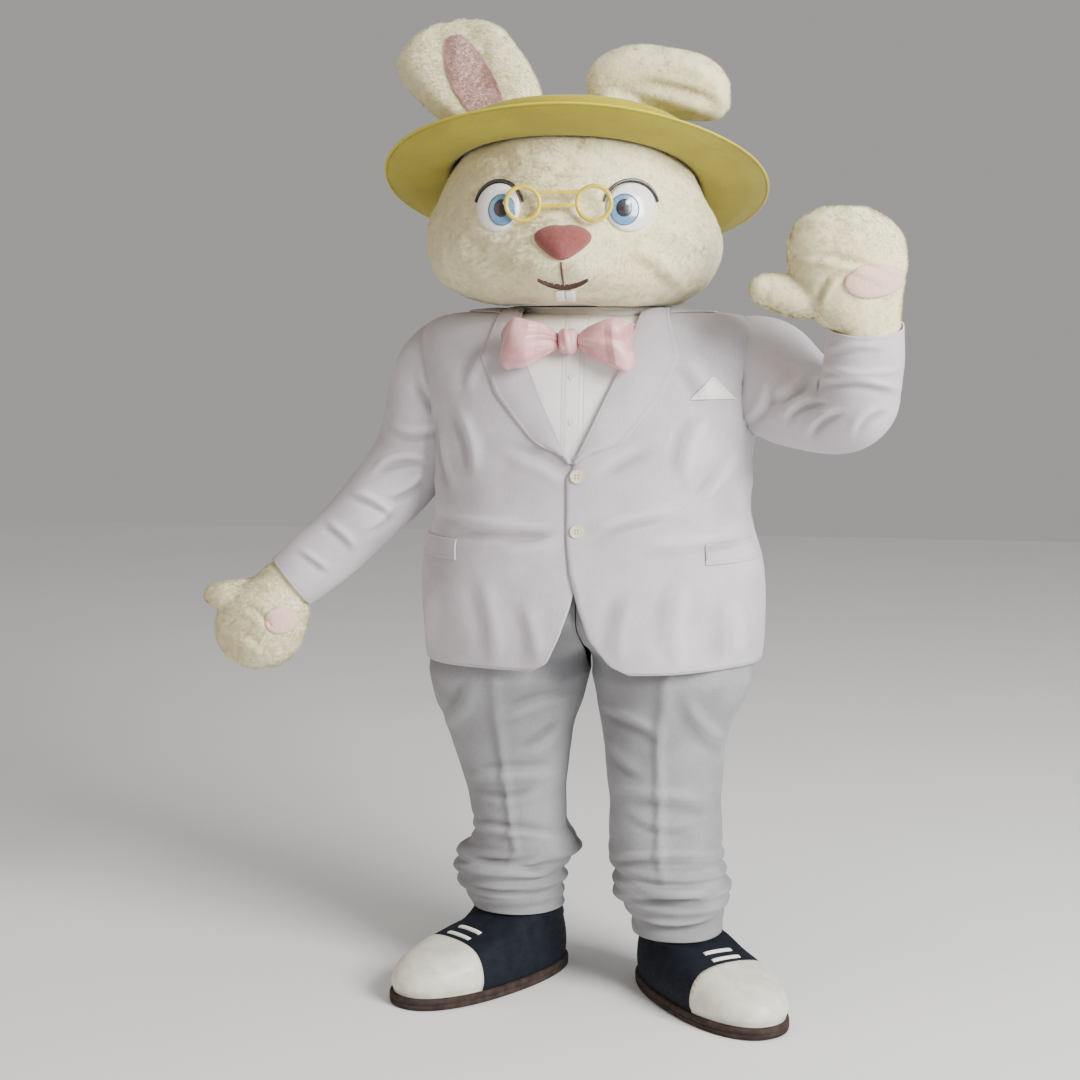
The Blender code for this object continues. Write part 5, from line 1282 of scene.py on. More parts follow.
def trouser_panel(side, part, rows=150, columns=76):
    table, sign = LEGS[side]
    low = table[0][0]
    height = (low + (WAIST_Z - low) * np.linspace(0, 1, rows) ** 1.15)[:, None]
    share = np.linspace(0, 1, columns)[None]
    leg_turn = -math.pi / 2 + math.pi * share if part == "front" else 3 * math.pi / 2 - math.pi * share
    hip_turn = math.pi / 2 * share if part == "front" else math.pi - math.pi / 2 * share
    climb = smooth((height - CROTCH_Z) / RISE)[..., None]
    leg = leg_surface(side, leg_turn, height)
    across = torso_form(sign * hip_turn, row_of_height(TORSO, height))
    length = np.hypot(across[..., 0], across[..., 1])[..., None]
    hip = across * (1 - (SUIT_WALL + 0.014) / length)
    hip[..., 2] = leg[..., 2]
    grid = leg * (1 - climb) + hip * climb
    ends = grid.copy()
    for end, beside in ((0, 1), (-1, -2)):
        grid[:, end] += unit(ends[:, beside] - ends[:, end]) * SEAM
    thin = np.abs(grid[..., 0]) < RISE_GAP
    grid[..., 0] = np.where(thin, sign * RISE_GAP, grid[..., 0])
    folds = LEG_FOLDS if side == "left" else mirrored(LEG_FOLDS, 0.014)
    middle = (sign * (table[5][1] + table[5][2]) / 2, -0.03)
    grid, raised, edges = relief(grid, False, folds, mirrored(mirrored(folds, 0.006), 0.004),
                                 LOOK_SEED + 7, seams=(True, True), middle=middle)
    thin = (grid[..., 2] > 0.55) & (sign * grid[..., 0] < RISE_GAP)
    grid[..., 0] = np.where(thin, sign * RISE_GAP, grid[..., 0])
    name = f"trouser_{side}_{part}"
    obj = shell(name, grid, SUIT_WALL, "trouser", middle=middle, raised=raised, edge=edges)
    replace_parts(obj, name)
    return obj


def head_form(angle, row):
    """The plush's base under its fur; angle 0 is the centre of the face."""
    angle, row = np.broadcast_arrays(np.asarray(angle, float), np.asarray(row, float))
    sized = rows_at(HEAD, row)
    cx, cy, cz, tilt, half, front, back = np.moveaxis(sized, -1, 0)
    depth = np.where(np.cos(angle) > 0, front, back)
    lean = np.radians(tilt)
    x = cx + half * wave(np.sin(angle), 2.2)
    flat_y = -depth * wave(np.cos(angle), 2.2)
    y, z = cy + flat_y * np.cos(lean), cz - flat_y * np.sin(lean)
    ahead = np.cos(angle) > 0
    muzzle = np.exp(-(((x - MUZZLE_X) / 0.115) ** 2) - ((z - MUZZLE_Z) / 0.050) ** 2)
    y = y - np.where(ahead, 0.030 * muzzle, 0.0)
    pads = sum(
        np.exp(-(((x - MUZZLE_X - s) / 0.030) ** 2) - ((z - 1.392) / 0.024) ** 2)
        for s in (-0.040, 0.040)
    )
    return np.stack((x, y - np.where(ahead, 0.0055 * pads, 0.0), z), axis=-1)


def head_panel(name, start, furs):
    gap = SEAM / 0.12
    angle = np.linspace(start + gap, start + math.pi - gap, 112)[None]
    rows = np.concatenate([np.linspace(0, 2, 22), np.linspace(2, 9, 92)[1:], np.linspace(9, 12, 18)[1:]])
    grid = head_form(angle, rows[:, None])
    middle = (-0.03, 0.0)
    grid = grid - outward_normals(grid, False, middle) * PILE
    grid, raised, _ = relief(grid, False, HEAD_FOLDS, HEAD_BACK_FOLDS, LOOK_SEED + 5, rough=0.0016,
                             seams=(True, True), middle=middle, groove=0.0018)
    obj = shell(name, grid, PLUSH_WALL - PILE, "plush", middle=middle, raised=raised)
    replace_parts(obj, name)
    furs.append((grid, outward_normals(grid, False, middle)))
    return obj


def tufts(points, seed):
    """How the pile of a place lies, as a clump value between about -1 and 1."""
    return unevenness(points, seed, waves=14, longest=0.05, shortest=0.012)


def strands(name, look, sources, count, length, width, seed, combed, skip=None):
    """Fur as one-triangle strands that lie along the combed way, their tips PILE over the base.

    sources are pairs of a grid and its normals, or of points with normals and their triangles.
    """
    rng = np.random.default_rng(seed)
    corner, corner_normal = [], []
    for source in sources:
        if len(source) == 2:
            grid, normals = source
            a, b, c, d = (grid[:-1, :-1], grid[:-1, 1:], grid[1:, 1:], grid[1:, :-1])
            na, nb, nc, nd = (normals[:-1, :-1], normals[:-1, 1:], normals[1:, 1:], normals[1:, :-1])
            corner += [np.stack([p.reshape(-1, 3) for p in t], 1) for t in ((a, b, c), (a, c, d))]
            halves = ((na, nb, nc), (na, nc, nd))
            corner_normal += [np.stack([p.reshape(-1, 3) for p in half], 1) for half in halves]
        else:
            points, normals, triangles = source
            corner.append(points[triangles])
            corner_normal.append(normals[triangles])
    corner, corner_normal = np.concatenate(corner), np.concatenate(corner_normal)
    area = np.linalg.norm(np.cross(corner[:, 1] - corner[:, 0], corner[:, 2] - corner[:, 0]), axis=1)
    chosen = rng.choice(len(corner), size=count, p=area / area.sum())
    one, two = np.sqrt(rng.random(count)), rng.random(count)
    weights = np.stack((1 - one, one * (1 - two), one * two), 1)[..., None]
    root = (corner[chosen] * weights).sum(axis=1)
    normal = unit((corner_normal[chosen] * weights).sum(axis=1))
    if skip is not None:
        kept = ~skip(root, normal)
        root, normal = root[kept], normal[kept]
    clump = tufts(root, seed + 1)
    way = combed(root) + 0.55 * np.stack([tufts(root, seed + 2 + k) for k in range(3)], 1)
    way = way + 0.25 * rng.normal(size=root.shape)
    way = unit(way - normal * (way * normal).sum(axis=1, keepdims=True))
    side = np.cross(way, normal)
    long = length * rng.uniform(0.75, 1.15, len(root))[:, None]
    stand = np.minimum(PILE * rng.uniform(0.7, 1.1, len(root))[:, None], long * 0.8)
    half = (width / 2) * rng.uniform(0.8, 1.2, len(root))[:, None]
    base = root - normal * 0.0004
    tip = root + normal * stand + way * np.sqrt(long**2 - stand**2)
    verts = np.stack((base - side * half, base + side * half, tip), 1).reshape(-1, 3)
    number = np.arange(len(root)) * 3
    tone = np.repeat(0.35 * clump + 0.16 * rng.normal(size=len(root)), 3)
    obj = make_object(name, verts, np.stack((number, number + 1, number + 2, number + 2), 1),
                      attributes={"tone": tone})
    at_tip = np.tile([[0], [0], [1]], (len(root), 1))
    lit = unit(np.repeat(normal, 3, axis=0) + 0.35 * np.repeat(way, 3, axis=0) * at_tip)
    obj.data.normals_split_custom_set_from_vertices(lit)
    return finished(obj, look)


def mesh_source(obj):
    """A finished mesh as points in heights above the floor, normals and triangles, for strands."""
    mesh = obj.data
    mesh.calc_loop_triangles()
    points = np.empty(len(mesh.vertices) * 3, np.float32)
    mesh.vertices.foreach_get("co", points)
    normals = np.empty(len(mesh.vertices) * 3, np.float32)
    mesh.vertices.foreach_get("normal", normals)
    triangles = np.empty(len(mesh.loop_triangles) * 3, np.int32)
    mesh.loop_triangles.foreach_get("vertices", triangles)
    return points.reshape(-1, 3) + (0, 0, NECK_Z), normals.reshape(-1, 3), triangles.reshape(-1, 3)


def build_head():
    furs = []
    head_panel("head_face", -math.pi / 2, furs)
    head_panel("head_back", math.pi / 2, furs)

    def combed(root):
        away = root - np.array((MUZZLE_X, -0.30, 1.44))
        return unit(away) + np.array((0.0, 0.0, -0.55))

    def bald(root, normal):
        front = root[:, 1] < -0.05
        found = (root[:, 2] < 1.3245) | (normal[:, 2] < -0.97)
        for side, x in EYES.items():
            off = ((root[:, 0] - x) / (EYE_SIZE[0] + 0.004)) ** 2
            found |= front & (off + ((root[:, 2] - EYE_Z) / (EYE_SIZE[1] + 0.004)) ** 2 < 1)
        off = ((root[:, 0] - MUZZLE_X) / 0.054) ** 2 + ((root[:, 2] - NOSE_Z) / 0.033) ** 2
        found |= front & (off < 1)
        smile = MOUTH_Z + MOUTH_RISE * ((root[:, 0] - MUZZLE_X) / MOUTH_HALF) ** 2
        wide = np.abs(root[:, 0] - MUZZLE_X) < 0.049
        found |= front & wide & (np.abs(root[:, 2] - smile) < 0.007)
        found |= front & (np.abs(root[:, 0] - MUZZLE_X) < 0.004) & (np.abs(root[:, 2] - 1.39) < 0.019)
        teeth = (np.abs(root[:, 0] - MUZZLE_X) < 0.020) & (np.abs(root[:, 2] - 1.350) < 0.011)
        return found | (front & teeth)

    strands("head_fur", "plush", furs, *HEAD_FUR, LOOK_SEED + 20, combed, bald)


def hat_points(x, y, z):
    """Points in the hat's own frame: x to the wearer's left, y backwards along the brim, z up its crown."""
    x, y, z = np.broadcast_arrays(x, y, z)
    c, s = math.cos(-HAT_TILT), math.sin(-HAT_TILT)
    turned = (HAT_CENTRE[0] + x, HAT_CENTRE[1] + y * c - z * s, HAT_CENTRE[2] + y * s + z * c)
    return np.stack(turned, axis=-1)


def hat_ring(share, height, grow=0.0, columns=128):
    """Rings round the crown: near the head they have the head's own section, further out they are round."""
    share, height, grow = (np.asarray(v, float)[..., None] for v in np.broadcast_arrays(share, height, grow))
    _, _, _, _, half, front, back = HEAD[HAT_ROW]
    angle = math.tau * np.arange(columns) / columns
    depth = np.where(np.cos(angle) > 0, front, back)
    x = (half + grow) * wave(np.sin(angle), 2.2) * (1 - share) + BRIM_RADIUS * np.sin(angle) * share
    y = -(depth + grow) * wave(np.cos(angle), 2.2) * (1 - share) - BRIM_RADIUS * np.cos(angle) * share
    sway = share**2 * (0.0016 * np.sin(3 * angle + 1.0) + 0.0011 * np.sin(5 * angle + 0.4))
    return hat_points(x, y, height + sway)


def build_hat():
    share = np.linspace(0, 1, 26)
    level = np.interp(share, (0.0, 0.30, 0.70, 1.0), (0.0, -0.0015, 0.0, 0.006))
    rim = np.linspace(0, math.pi, 9)[1:-1]
    top = hat_ring(share, level, grow=0.0024)
    edge = hat_ring(1 + 0.0040 * np.sin(rim), 0.006 - FELT / 2 + FELT / 2 * np.cos(rim))
    low = hat_ring(share[::-1], level[::-1] - FELT, grow=0.0147)
    far = np.concatenate([1 - share, 0 * rim, share]) * 0.13
    brim = closed_loft("hat_brim", np.concatenate([top, edge, low]), "felt", wrap=True,
                       attributes={"edge": np.repeat(far, 128)})
    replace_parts(brim, "hat_brim")
    foot, peak = FELT / 10 + SEAM, CROWN_HEIGHT
    outside = [(foot, 0.0052), (peak * 0.2, 0.0053), (peak * 0.45, 0.0052), (peak * 0.7, 0.0042),
               (peak - 0.016, 0.0026), (peak - 0.009, 0.0004), (peak - 0.004, -0.005), (peak - 0.001, -0.013),
               (peak, -0.026), (peak - 0.0005, -0.07), (peak - 0.001, -0.14), (peak - 0.001, -0.21)]
    inside = [(h - FELT if k > 3 else h, g - FELT) for k, (h, g) in enumerate(outside)]
    path = outside[::-1] + inside
    rings = np.stack([hat_ring(0.0, h, grow=g) for h, g in path])
    crown = closed_loft("hat_crown", rings, "felt")
    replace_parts(crown, "hat_crown")


def ear_grid(table, positions, columns, dished=True):
    """An upright ear's level rings, in the hat's frame: x across and y through."""
    sized = rows_at(table, positions)
    cx, cy, cz, half, thick = (sized[:, k][:, None] for k in range(5))
    turn = (math.tau * np.arange(columns) / columns)[None]
    dish = smooth(1.15 - 1.5 * np.abs(np.sin(turn))) * 0.016 * (np.cos(turn) > 0) * smooth(np.cos(turn) * 3)
    dish = dish * (smooth(positions / 2) * smooth((7 - positions) / 2))[:, None] if dished else 0.0
    return hat_points(cx + half * wave(np.sin(turn), 2.3), cy - thick * np.cos(turn) + dish, cz + 0 * turn)


def lowered(rings, depth):
    return rings - outward_normals(rings, True, None) * depth


def crumple(obj, front, back, seed, rough=0.0014):
    """Moves a closed plush form's points along their normals by folds and unevenness."""
    points, normals, _ = mesh_source(obj)
    facing = smooth((-normals[:, 1] + 0.25) / 0.5)
    height = fold_height(points[:, 0], points[:, 2], front) * facing
    height += fold_height(points[:, 0], points[:, 2], back) * (1 - facing) + rough * unevenness(points, seed)
    moved = points + normals * height[:, None] - (0, 0, NECK_Z)
    obj.data.vertices.foreach_set("co", moved.astype(np.float32).ravel())
    raised = obj.data.attributes.get("raised") or obj.data.attributes.new("raised", "FLOAT", "POINT")
    raised.data.foreach_set("value", height)
    obj.data.update()


def merged(parts, voxel, look, rounds=4):
    """Overlapping closed forms joined into one skin and smoothed."""
    select_nothing()
    for part in parts:
        part.select_set(True)
    bpy.context.view_layer.objects.active = parts[0]
    bpy.ops.object.join()
    obj = parts[0]
    step = obj.modifiers.new("skin", "REMESH")
    step.mode = "VOXEL"
    step.voxel_size = voxel
    step.use_smooth_shade = True
    soft = obj.modifiers.new("soft", "SMOOTH")
    soft.factor, soft.iterations = 0.5, rounds
    bpy.ops.object.modifier_apply(modifier="skin")
    bpy.ops.object.modifier_apply(modifier="soft")
    obj.data.materials.clear()
    obj.data.materials.append(LOOKS[look]())
    return obj


def build_ears():
    upright = lowered(ear_grid(EAR_RIGHT, np.linspace(0, 7, 84), 96), PLUSH_SINK)
    up = closed_loft("ear_right", upright, "plush")
    crumple(up, EAR_FOLDS, EAR_FOLDS, LOOK_SEED + 8)
    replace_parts(up, "ear_right")
    sized = rows_at(EAR_LEFT, np.linspace(0, 7, 70))
    cx, cy, cz, high, deep = (sized[:, k][:, None] for k in range(5))
    turn = (math.tau * np.arange(72) / 72)[None]
    flop = hat_points(cx + 0 * turn, cy + deep * wave(np.sin(turn), 2.2), cz + high * wave(np.cos(turn), 2.2))
    pillow = closed_loft("ear_left", lowered(flop, PLUSH_SINK), "plush")
    stem = lowered(ear_grid(EAR_ROOT, np.linspace(0, 2, 20), 60, False), PLUSH_SINK)
    root = closed_loft("ear_left_root", stem, "plush")
    flopped = merged([pillow, root], 0.0036, "plush")
    crumple(flopped, EAR_FOLDS, EAR_FOLDS, LOOK_SEED + 9)
    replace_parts(flopped, "ear_left")
    tree = surface_of([up])
    grid, normals = [], []
    for share in np.linspace(0, 1, 40):
        middle_x, height = -0.214 - 0.072 * share, 1.695 + 0.165 * share
        half = 0.048 * math.sin(math.pi * (0.24 + 0.66 * share)) ** 0.7
        row = [front_hit(tree, middle_x + half * k, height - 0.010 * k * k * (2 * share - 1))
               for k in np.linspace(-1, 1, 22)]
        grid.append([spot for spot, _ in row])
        normals.append([normal for _, normal in row])
    grid, normals = np.array(grid), soften(np.array(normals))
    grid = grid + normals * (PINK_WALL + 0.0022)
    border = edge_distance(grid, False)
    pink = shell("ear_right_inner", grid, PINK_WALL, "ear_pink", middle=(-0.2, 0.4), edge=border)
    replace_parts(pink, "ear_right_inner")
    foot, tip = grid[0, 0], grid[-1, -1]

    def combed(root):
        return unit(root - np.array((0.02, 0.0, 1.64))) * (1.0, 0.4, 1.0)

    def covered(root, normal):
        share = (root[:, 2] - foot[2]) / (tip[2] - foot[2])
        middle = -0.214 - 0.072 * share
        half = 0.046 * np.sin(math.pi * np.clip(0.24 + 0.66 * share, 0.01, 0.99)) ** 0.7
        return (normal[:, 1] < 0) & (share > 0.02) & (share < 0.98) & (np.abs(root[:, 0] - middle) < half)

    ears = [mesh_source(up), mesh_source(flopped)]
    strands("ear_fur", "plush", ears, *EAR_FUR, LOOK_SEED + 30, combed, covered)
    strands("ear_pink_fur", "ear_pink", [(grid, normals)], *PINK_FUR, LOOK_SEED + 40, combed)


def soften(normals):
    """Normals averaged with their neighbours along rows and columns."""
    for _ in range(3):
        padded = np.pad(normals, ((1, 1), (1, 1), (0, 0)), mode="edge")
        normals = unit(padded[:-2, 1:-1] + padded[2:, 1:-1] + padded[1:-1, :-2] + padded[1:-1, 2:] + normals)
    return normals


def patch(name, tree, centre, outline, height, slot, segments=96, rings=14, lift=0.0, sink=0.0024, node=True):
    """A piece that lies on a surface, seen from the front: height(share) is its thickness along a radius."""
    shares = np.linspace(0, 1, rings) ** 0.8
    turns = math.tau * np.arange(segments) / segments
    low, high, distance = [], [], []
    for share in shares[1:]:
        for turn in turns:
            dx, dz = outline(turn)
            spot, normal = front_hit(tree, centre[0] + dx * share, centre[1] + dz * share)
            low.append(spot - normal * sink)
            high.append(spot + normal * (lift + height(share)))
            distance.append((1 - share) * math.hypot(dx, dz))
    spot, normal = front_hit(tree, *centre)
    count = (rings - 1) * segments
    verts = high + [spot + normal * (lift + height(0.0))]
    start = len(verts)
    verts += low[-segments:] + [np.mean(low[-segments:], axis=0)]
    quads, uvs = [], []

    def uv(k):
        return (k % segments / segments, (k // segments + 1) / rings)

    for j in range(segments):
        k = (j + 1) % segments
        quads.append((count, k, j, j))
        uvs.append(((j / segments, 0), uv(k), uv(j), uv(j)))
        for i in range(rings - 2):
            a, b = i * segments + j, i * segments + k
            quads.append((a, b, b + segments, a + segments))
            uvs.append((uv(a), uv(b), uv(b + segments), uv(a + segments)))
        a, b = count - segments + j, count - segments + k
        quads.append((a, b, start + k, start + j))
        uvs.append((uv(a), uv(b), uv(b), uv(a)))
        quads.append((start + j, start + k, start + segments, start + segments))
        uvs.append((uv(a), uv(b), uv(b), uv(b)))
    attributes = {"edge": [*distance, 0.5, *([0.5] * (segments + 1))]}
    obj = make_object(name, verts, quads, uvs, attributes=attributes)
    remade(obj, turn_outward)
    finished(obj, slot)
    if node:
        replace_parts(obj, name)
    return obj


def oval(half_x, half_z, turned=0.0):
    def outline(turn):
        x, z = half_x * math.cos(turn), half_z * math.sin(turn)
        c, s = math.cos(turned), math.sin(turned)
        return x * c - z * s, x * s + z * c

    return outline


def band(name, tree, curve, half_width, thick, slot, count=64, lift=0.0):
    """A rounded cord along a curve on a surface, thinner to its ends; curve(share) gives x and z."""
    rings = []
    for share in np.linspace(0, 1, count):
        x, z = curve(share)
        nx, nz = curve(min(1.0, share + 0.02))
        bx, bz = curve(max(0.0, share - 0.02))
        size = math.hypot(nx - bx, nz - bz)
        side_x, side_z = -(nz - bz) / size, (nx - bx) / size
        wide = half_width * (0.30 + 0.70 * math.sin(math.pi * share) ** 0.6)
        over, under = [], []
        for part in np.linspace(-1, 1, 9):
            spot, normal = front_hit(tree, x + side_x * wide * part, z + side_z * wide * part)
            over.append(spot + normal * (lift + thick * math.sqrt(max(0.0, 1 - part * part))))
            under.append(spot - normal * 0.0014)
        rings.append([*under, *reversed(over)])
    obj = closed_loft(name, rings, slot)
    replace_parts(obj, name)
    return obj


def dome(peak, rim=0.0010, power=0.6):
    return lambda share: rim + (peak - rim) * max(0.0, 1 - share * share) ** power


def build_face():
    face = surface_of([shown("head_face")])
    others = []
    for side, x in EYES.items():
        eye = patch(f"eye_{side}", face, (x, EYE_Z), oval(*EYE_SIZE), dome(0.0150, 0.0045, 0.5), "eye_white",
                    lift=0.0010)
        inward = 0.008 if side == "right" else -0.008
        on_eye = surface_of([eye])
        iris = patch(f"iris_{side}", on_eye, (x + inward, EYE_Z - 0.004), oval(0.026, 0.029),
                     dome(0.0012, 0.0008), "iris_blue", rings=10, sink=0.0006)
        on_iris = surface_of([iris, eye])
        pupil = patch(f"pupil_{side}", on_iris, (x + inward, EYE_Z - 0.001), oval(0.014, 0.016),
                      dome(0.0012, 0.0007), "black", rings=8, sink=0.0005)
        glint = patch(f"glint_{side}", surface_of([pupil, iris]), (x + inward + 0.0065, EYE_Z + 0.009),
                      oval(0.0042, 0.0048), dome(0.0010, 0.0004), "eye_white", 40, 5, sink=0.0003, node=False)

        def arc(share, x=x):
            turn = math.radians(168 - 156 * share)
            return x + 0.0470 * math.cos(turn), EYE_Z + 0.0495 * math.sin(turn)

        lid = band(f"lid_{side}", face, arc, 0.0040, 0.0058, "black", lift=0.0012)
        others += [eye, iris, pupil, glint, lid]

    def nose_line(turn):
        x, z = math.cos(turn), math.sin(turn)
        narrow = 1.0 - 0.46 * float(smooth((0.55 - z) / 1.7))
        dip = 1.0 - 0.10 * math.exp(-(((turn - math.pi / 2) / 0.28) ** 2))
        return NOSE_SIZE[0] * x * narrow, NOSE_SIZE[1] * z * dip

    nose = patch("nose", face, (MUZZLE_X, NOSE_Z), nose_line, dome(0.0270, 0.0030, 0.55), "nose_rose",
                 120, 22, lift=0.001)

    def smile(share):
        along = 2 * share - 1
        return MUZZLE_X + MOUTH_HALF * along, MOUTH_Z + MOUTH_RISE * along**2

    def cleft(share):
        return MUZZLE_X, 1.408 - 0.040 * share

    band("mouth", face, smile, 0.0042, 0.0034, "mouth_dark", lift=0.0018)
    band("philtrum", face, cleft, 0.0020, 0.0028, "mouth_dark", 24, lift=0.0014)

    def square(turn):
        return 0.0084 * float(wave(np.cos(turn), 5)), 0.0090 * float(wave(np.sin(turn), 5))

    for side, shift in (("left", 0.0092), ("right", -0.0092)):
        patch(f"tooth_{side}", face, (MUZZLE_X + shift, 1.3485), square, dome(0.0046, 0.0032, 0.25), "tooth",
              64, 10, lift=0.0014)
    build_glasses(surface_of([shown("head_face"), nose, *others]))


def select_only(obj):
    select_nothing()
    obj.select_set(True)
    bpy.context.view_layer.objects.active = obj


def join_by_boolean(first, others):
    """Unites overlapping closed pieces into the first one."""
    for other in others:
        step = first.modifiers.new("join", "BOOLEAN")
        step.operation, step.object, step.solver = "UNION", other, "EXACT"
        select_only(first)
        bpy.ops.object.modifier_apply(modifier=step.name)
        bpy.data.objects.remove(other)


def bevelled(obj, width, segments=3):
    step = obj.modifiers.new("round", "BEVEL")
    step.width, step.segments = width, segments
    select_only(obj)
    bpy.ops.object.modifier_apply(modifier="round")


def build_glasses(tree):
    """Two thick rings with a double bridge, standing just before the eyes."""
    centres, height, ring, wire = (-0.091, 0.040), 1.514, 0.031, 0.0042
    front = [front_hit(tree, x + r * math.cos(t), height + r * math.sin(t))[0][1]
             for x in centres for t in np.linspace(0, math.tau, 60) for r in (ring - wire, ring, ring + wire)]
    y = min(front) - wire - 0.0005
    rings = []
    for x in centres:
        select_nothing()
        bpy.ops.mesh.primitive_torus_add(major_segments=72, minor_segments=20, major_radius=ring,
                                         minor_radius=wire)
        obj = bpy.context.object
        obj.data.transform(Matrix.Translation((x, y, height - NECK_Z)) @ Matrix.Rotation(math.pi / 2, 4, "X"))
        rings.append(obj)
    for z, half in ((height + 0.020, 0.045), (height - 0.004, 0.037)):
        select_nothing()
        bpy.ops.mesh.primitive_cube_add(size=2)
        bar = bpy.context.object
        bar.data.transform(Matrix.Translation((sum(centres) / 2, y, z - NECK_Z))
                           @ Matrix.Diagonal((half, 0.0030, 0.0034, 1)))
        bevelled(bar, 0.0014)
        rings.append(bar)
    obj = rings[0]
    join_by_boolean(obj, rings[1:])
    obj.name = "shown_glasses"
    smooth_by_angle(obj, 40)
    finished(obj, "frame_yellow")
    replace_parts(obj, "glasses")


def select_nothing():
    bpy.ops.object.select_all(action="DESELECT")


def smooth_by_angle(obj, degrees):
    select_only(obj)
    bpy.ops.object.shade_smooth_by_angle(angle=math.radians(degrees))


def button(name, tree, x, z, radius, thick, slot):
    """A sewn button: a turned disc with a rolled rim, a sunk middle and four thread holes."""
    spot, normal = front_hit(tree, x, z)
    select_nothing()
    bpy.ops.mesh.primitive_cylinder_add(vertices=56, radius=radius, depth=thick, location=(0, 0, thick / 2))
    obj = bpy.context.object
    bpy.ops.object.transform_apply(location=True)
    bpy.ops.object.mode_set(mode="EDIT")
    bm = bmesh.from_edit_mesh(obj.data)
    for face in bm.faces:
        face.select_set(face.normal.z > 0.9)
    bmesh.update_edit_mesh(obj.data)
    bpy.ops.mesh.inset(thickness=radius * 0.26)
    bpy.ops.transform.translate(value=(0, 0, -thick * 0.28))
    bpy.ops.mesh.inset(thickness=radius * 0.08)
    bpy.ops.object.mode_set(mode="OBJECT")
    bevelled(obj, thick * 0.16)
    for a, b in ((-1, -1), (-1, 1), (1, -1), (1, 1)):
        select_nothing()
        bpy.ops.mesh.primitive_cylinder_add(vertices=14, radius=radius * 0.11, depth=thick * 3,
                                            location=(a * radius * 0.22, b * radius * 0.22, thick / 2))
        drill = bpy.context.object
        step = obj.modifiers.new("hole", "BOOLEAN")
        step.operation, step.object, step.solver = "DIFFERENCE", drill, "EXACT"
        select_only(obj)
        bpy.ops.object.modifier_apply(modifier="hole")
        bpy.data.objects.remove(drill)
    up = Vector(normal)
    across = Vector((1, 0, 0)) - up * up.x
    across.normalize()
    turn = Matrix((across, up.cross(across), up)).transposed().to_4x4()
    obj.data.transform(Matrix.Translation(Vector(spot) + up * LIE - Vector((0, 0, NECK_Z))) @ turn)
    obj.name = f"shown_{name}"
    smooth_by_angle(obj, 35)
    finished(obj, slot)
    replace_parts(obj, name)


def build_buttons():
    tree = surface_of([shown("jacket_front_left")])
    for name, height in zip(("button_upper", "button_lower"), BUTTON_HEIGHTS):
        button(name, tree, 0.0015, height, 0.0125, 0.0040, "button_yellow")
    tree = surface_of([shown("shirt_front")])
    for k, (x, z) in enumerate(((-0.012, 1.196), (-0.010, 1.112))):
        button(f"shirt_button_{k + 1}", tree, x, z, 0.0055, 0.0014, "tooth")


def least_front(tree, x, half_x, z, half_z):
    return min(front_hit(tree, x + a * half_x, z + b * half_z)[0][1]
               for a in (-1, -0.5, 0, 0.5, 1) for b in np.linspace(-1, 1, 9))


def build_bow_tie():
    behind = ("shirt_front", "jacket_front_left", "jacket_front_right", "lapel_left", "lapel_right",
              "shirt_collar")
    tree = surface_of([shown(name) for name in behind])
    knot_y = least_front(tree, BOW_X, 0.012, BOW_Z, 0.018) - KNOT_FORWARD
    turn = math.tau * np.arange(72) / 72
    share = np.linspace(-1, 1, 44)[:, None]
    half = 0.022 * (1 - 0.45 * np.abs(share) ** 3.5)
    pleat = 1 + 0.05 * np.sin(7 * turn + 2.2 * share) + 0.03 * np.sin(3 * turn - 3 * share)
    knot = np.stack((BOW_X + half * 0.88 * pleat * np.cos(turn),
                     knot_y + 0.021 * (1 - 0.4 * share**4) * pleat * np.sin(turn),
                     BOW_Z + 0.0225 * share + 0.0015 * np.sin(turn * 2)), axis=-1)
    obj = closed_loft("bow_knot", knot, "satin")
    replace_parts(obj, "bow_knot")
    for side, sign in (("left", 1), ("right", -1)):
        rings = []
        positions = np.linspace(0, 5, 76)
        limits = []
        for away, middle, high, deep in rows_at(BOW_WING, positions):
            x = BOW_X + sign * (away + SEAM)
            clear = least_front(tree, x, 0.006, middle, high) - deep * 1.22 - 0.0006
            limits.append(min(clear, knot_y + 0.004))
        padded = np.pad(limits, 8, mode="edge")
        least = [padded[k:k + 9].min() for k in range(len(padded) - 8)]
        eased = np.convolve(least, np.ones(9) / 9, mode="valid")
        for position, y in zip(positions, eased):
            away, middle, high, deep = rows_at(BOW_WING, position)
            x = BOW_X + sign * (away + SEAM)
            out = position / 5
            turns = math.tau * np.arange(128) / 128
            folds = 0.13 * np.cos(3 * turns + position + sign) * (1 - 0.3 * out)
            folds += 0.13 * np.cos(7 * turns - 0.5 * position + 2 * sign) * smooth(1.35 - 1.0 * out)
            folds += 0.07 * np.sin(12 * turns + 1.1 * sign) * smooth(1.2 - 1.2 * out)
            sag = 0.004 * math.sin(2.6 * position + sign)
            rings.append(np.stack((
                x + 0.006 * out * np.cos(turns * 2 + sign), y - deep * (1.0 + folds) * np.sin(turns),
                middle + sag * out + high * (1 + 0.04 * folds) * np.cos(turns)), axis=-1))
        obj = closed_loft(f"bow_wing_{side}", rings, "satin")
        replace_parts(obj, f"bow_wing_{side}")


def shoe_ring(row, heading, columns=96):
    """A level ring of the shoe in its own frame: x along the shoe, y towards its outside."""
    height, front, back, half = row
    turn = -math.pi / 2 - math.radians(heading) + math.tau * np.arange(columns) / columns
    wide = half * (1 + 0.10 * np.cos(turn))
    return np.stack(((front + back) / 2 + (front - back) / 2 * wave(np.cos(turn), 2.2),
                     wide * wave(np.sin(turn), 2.2), np.full(columns, height)), axis=-1)


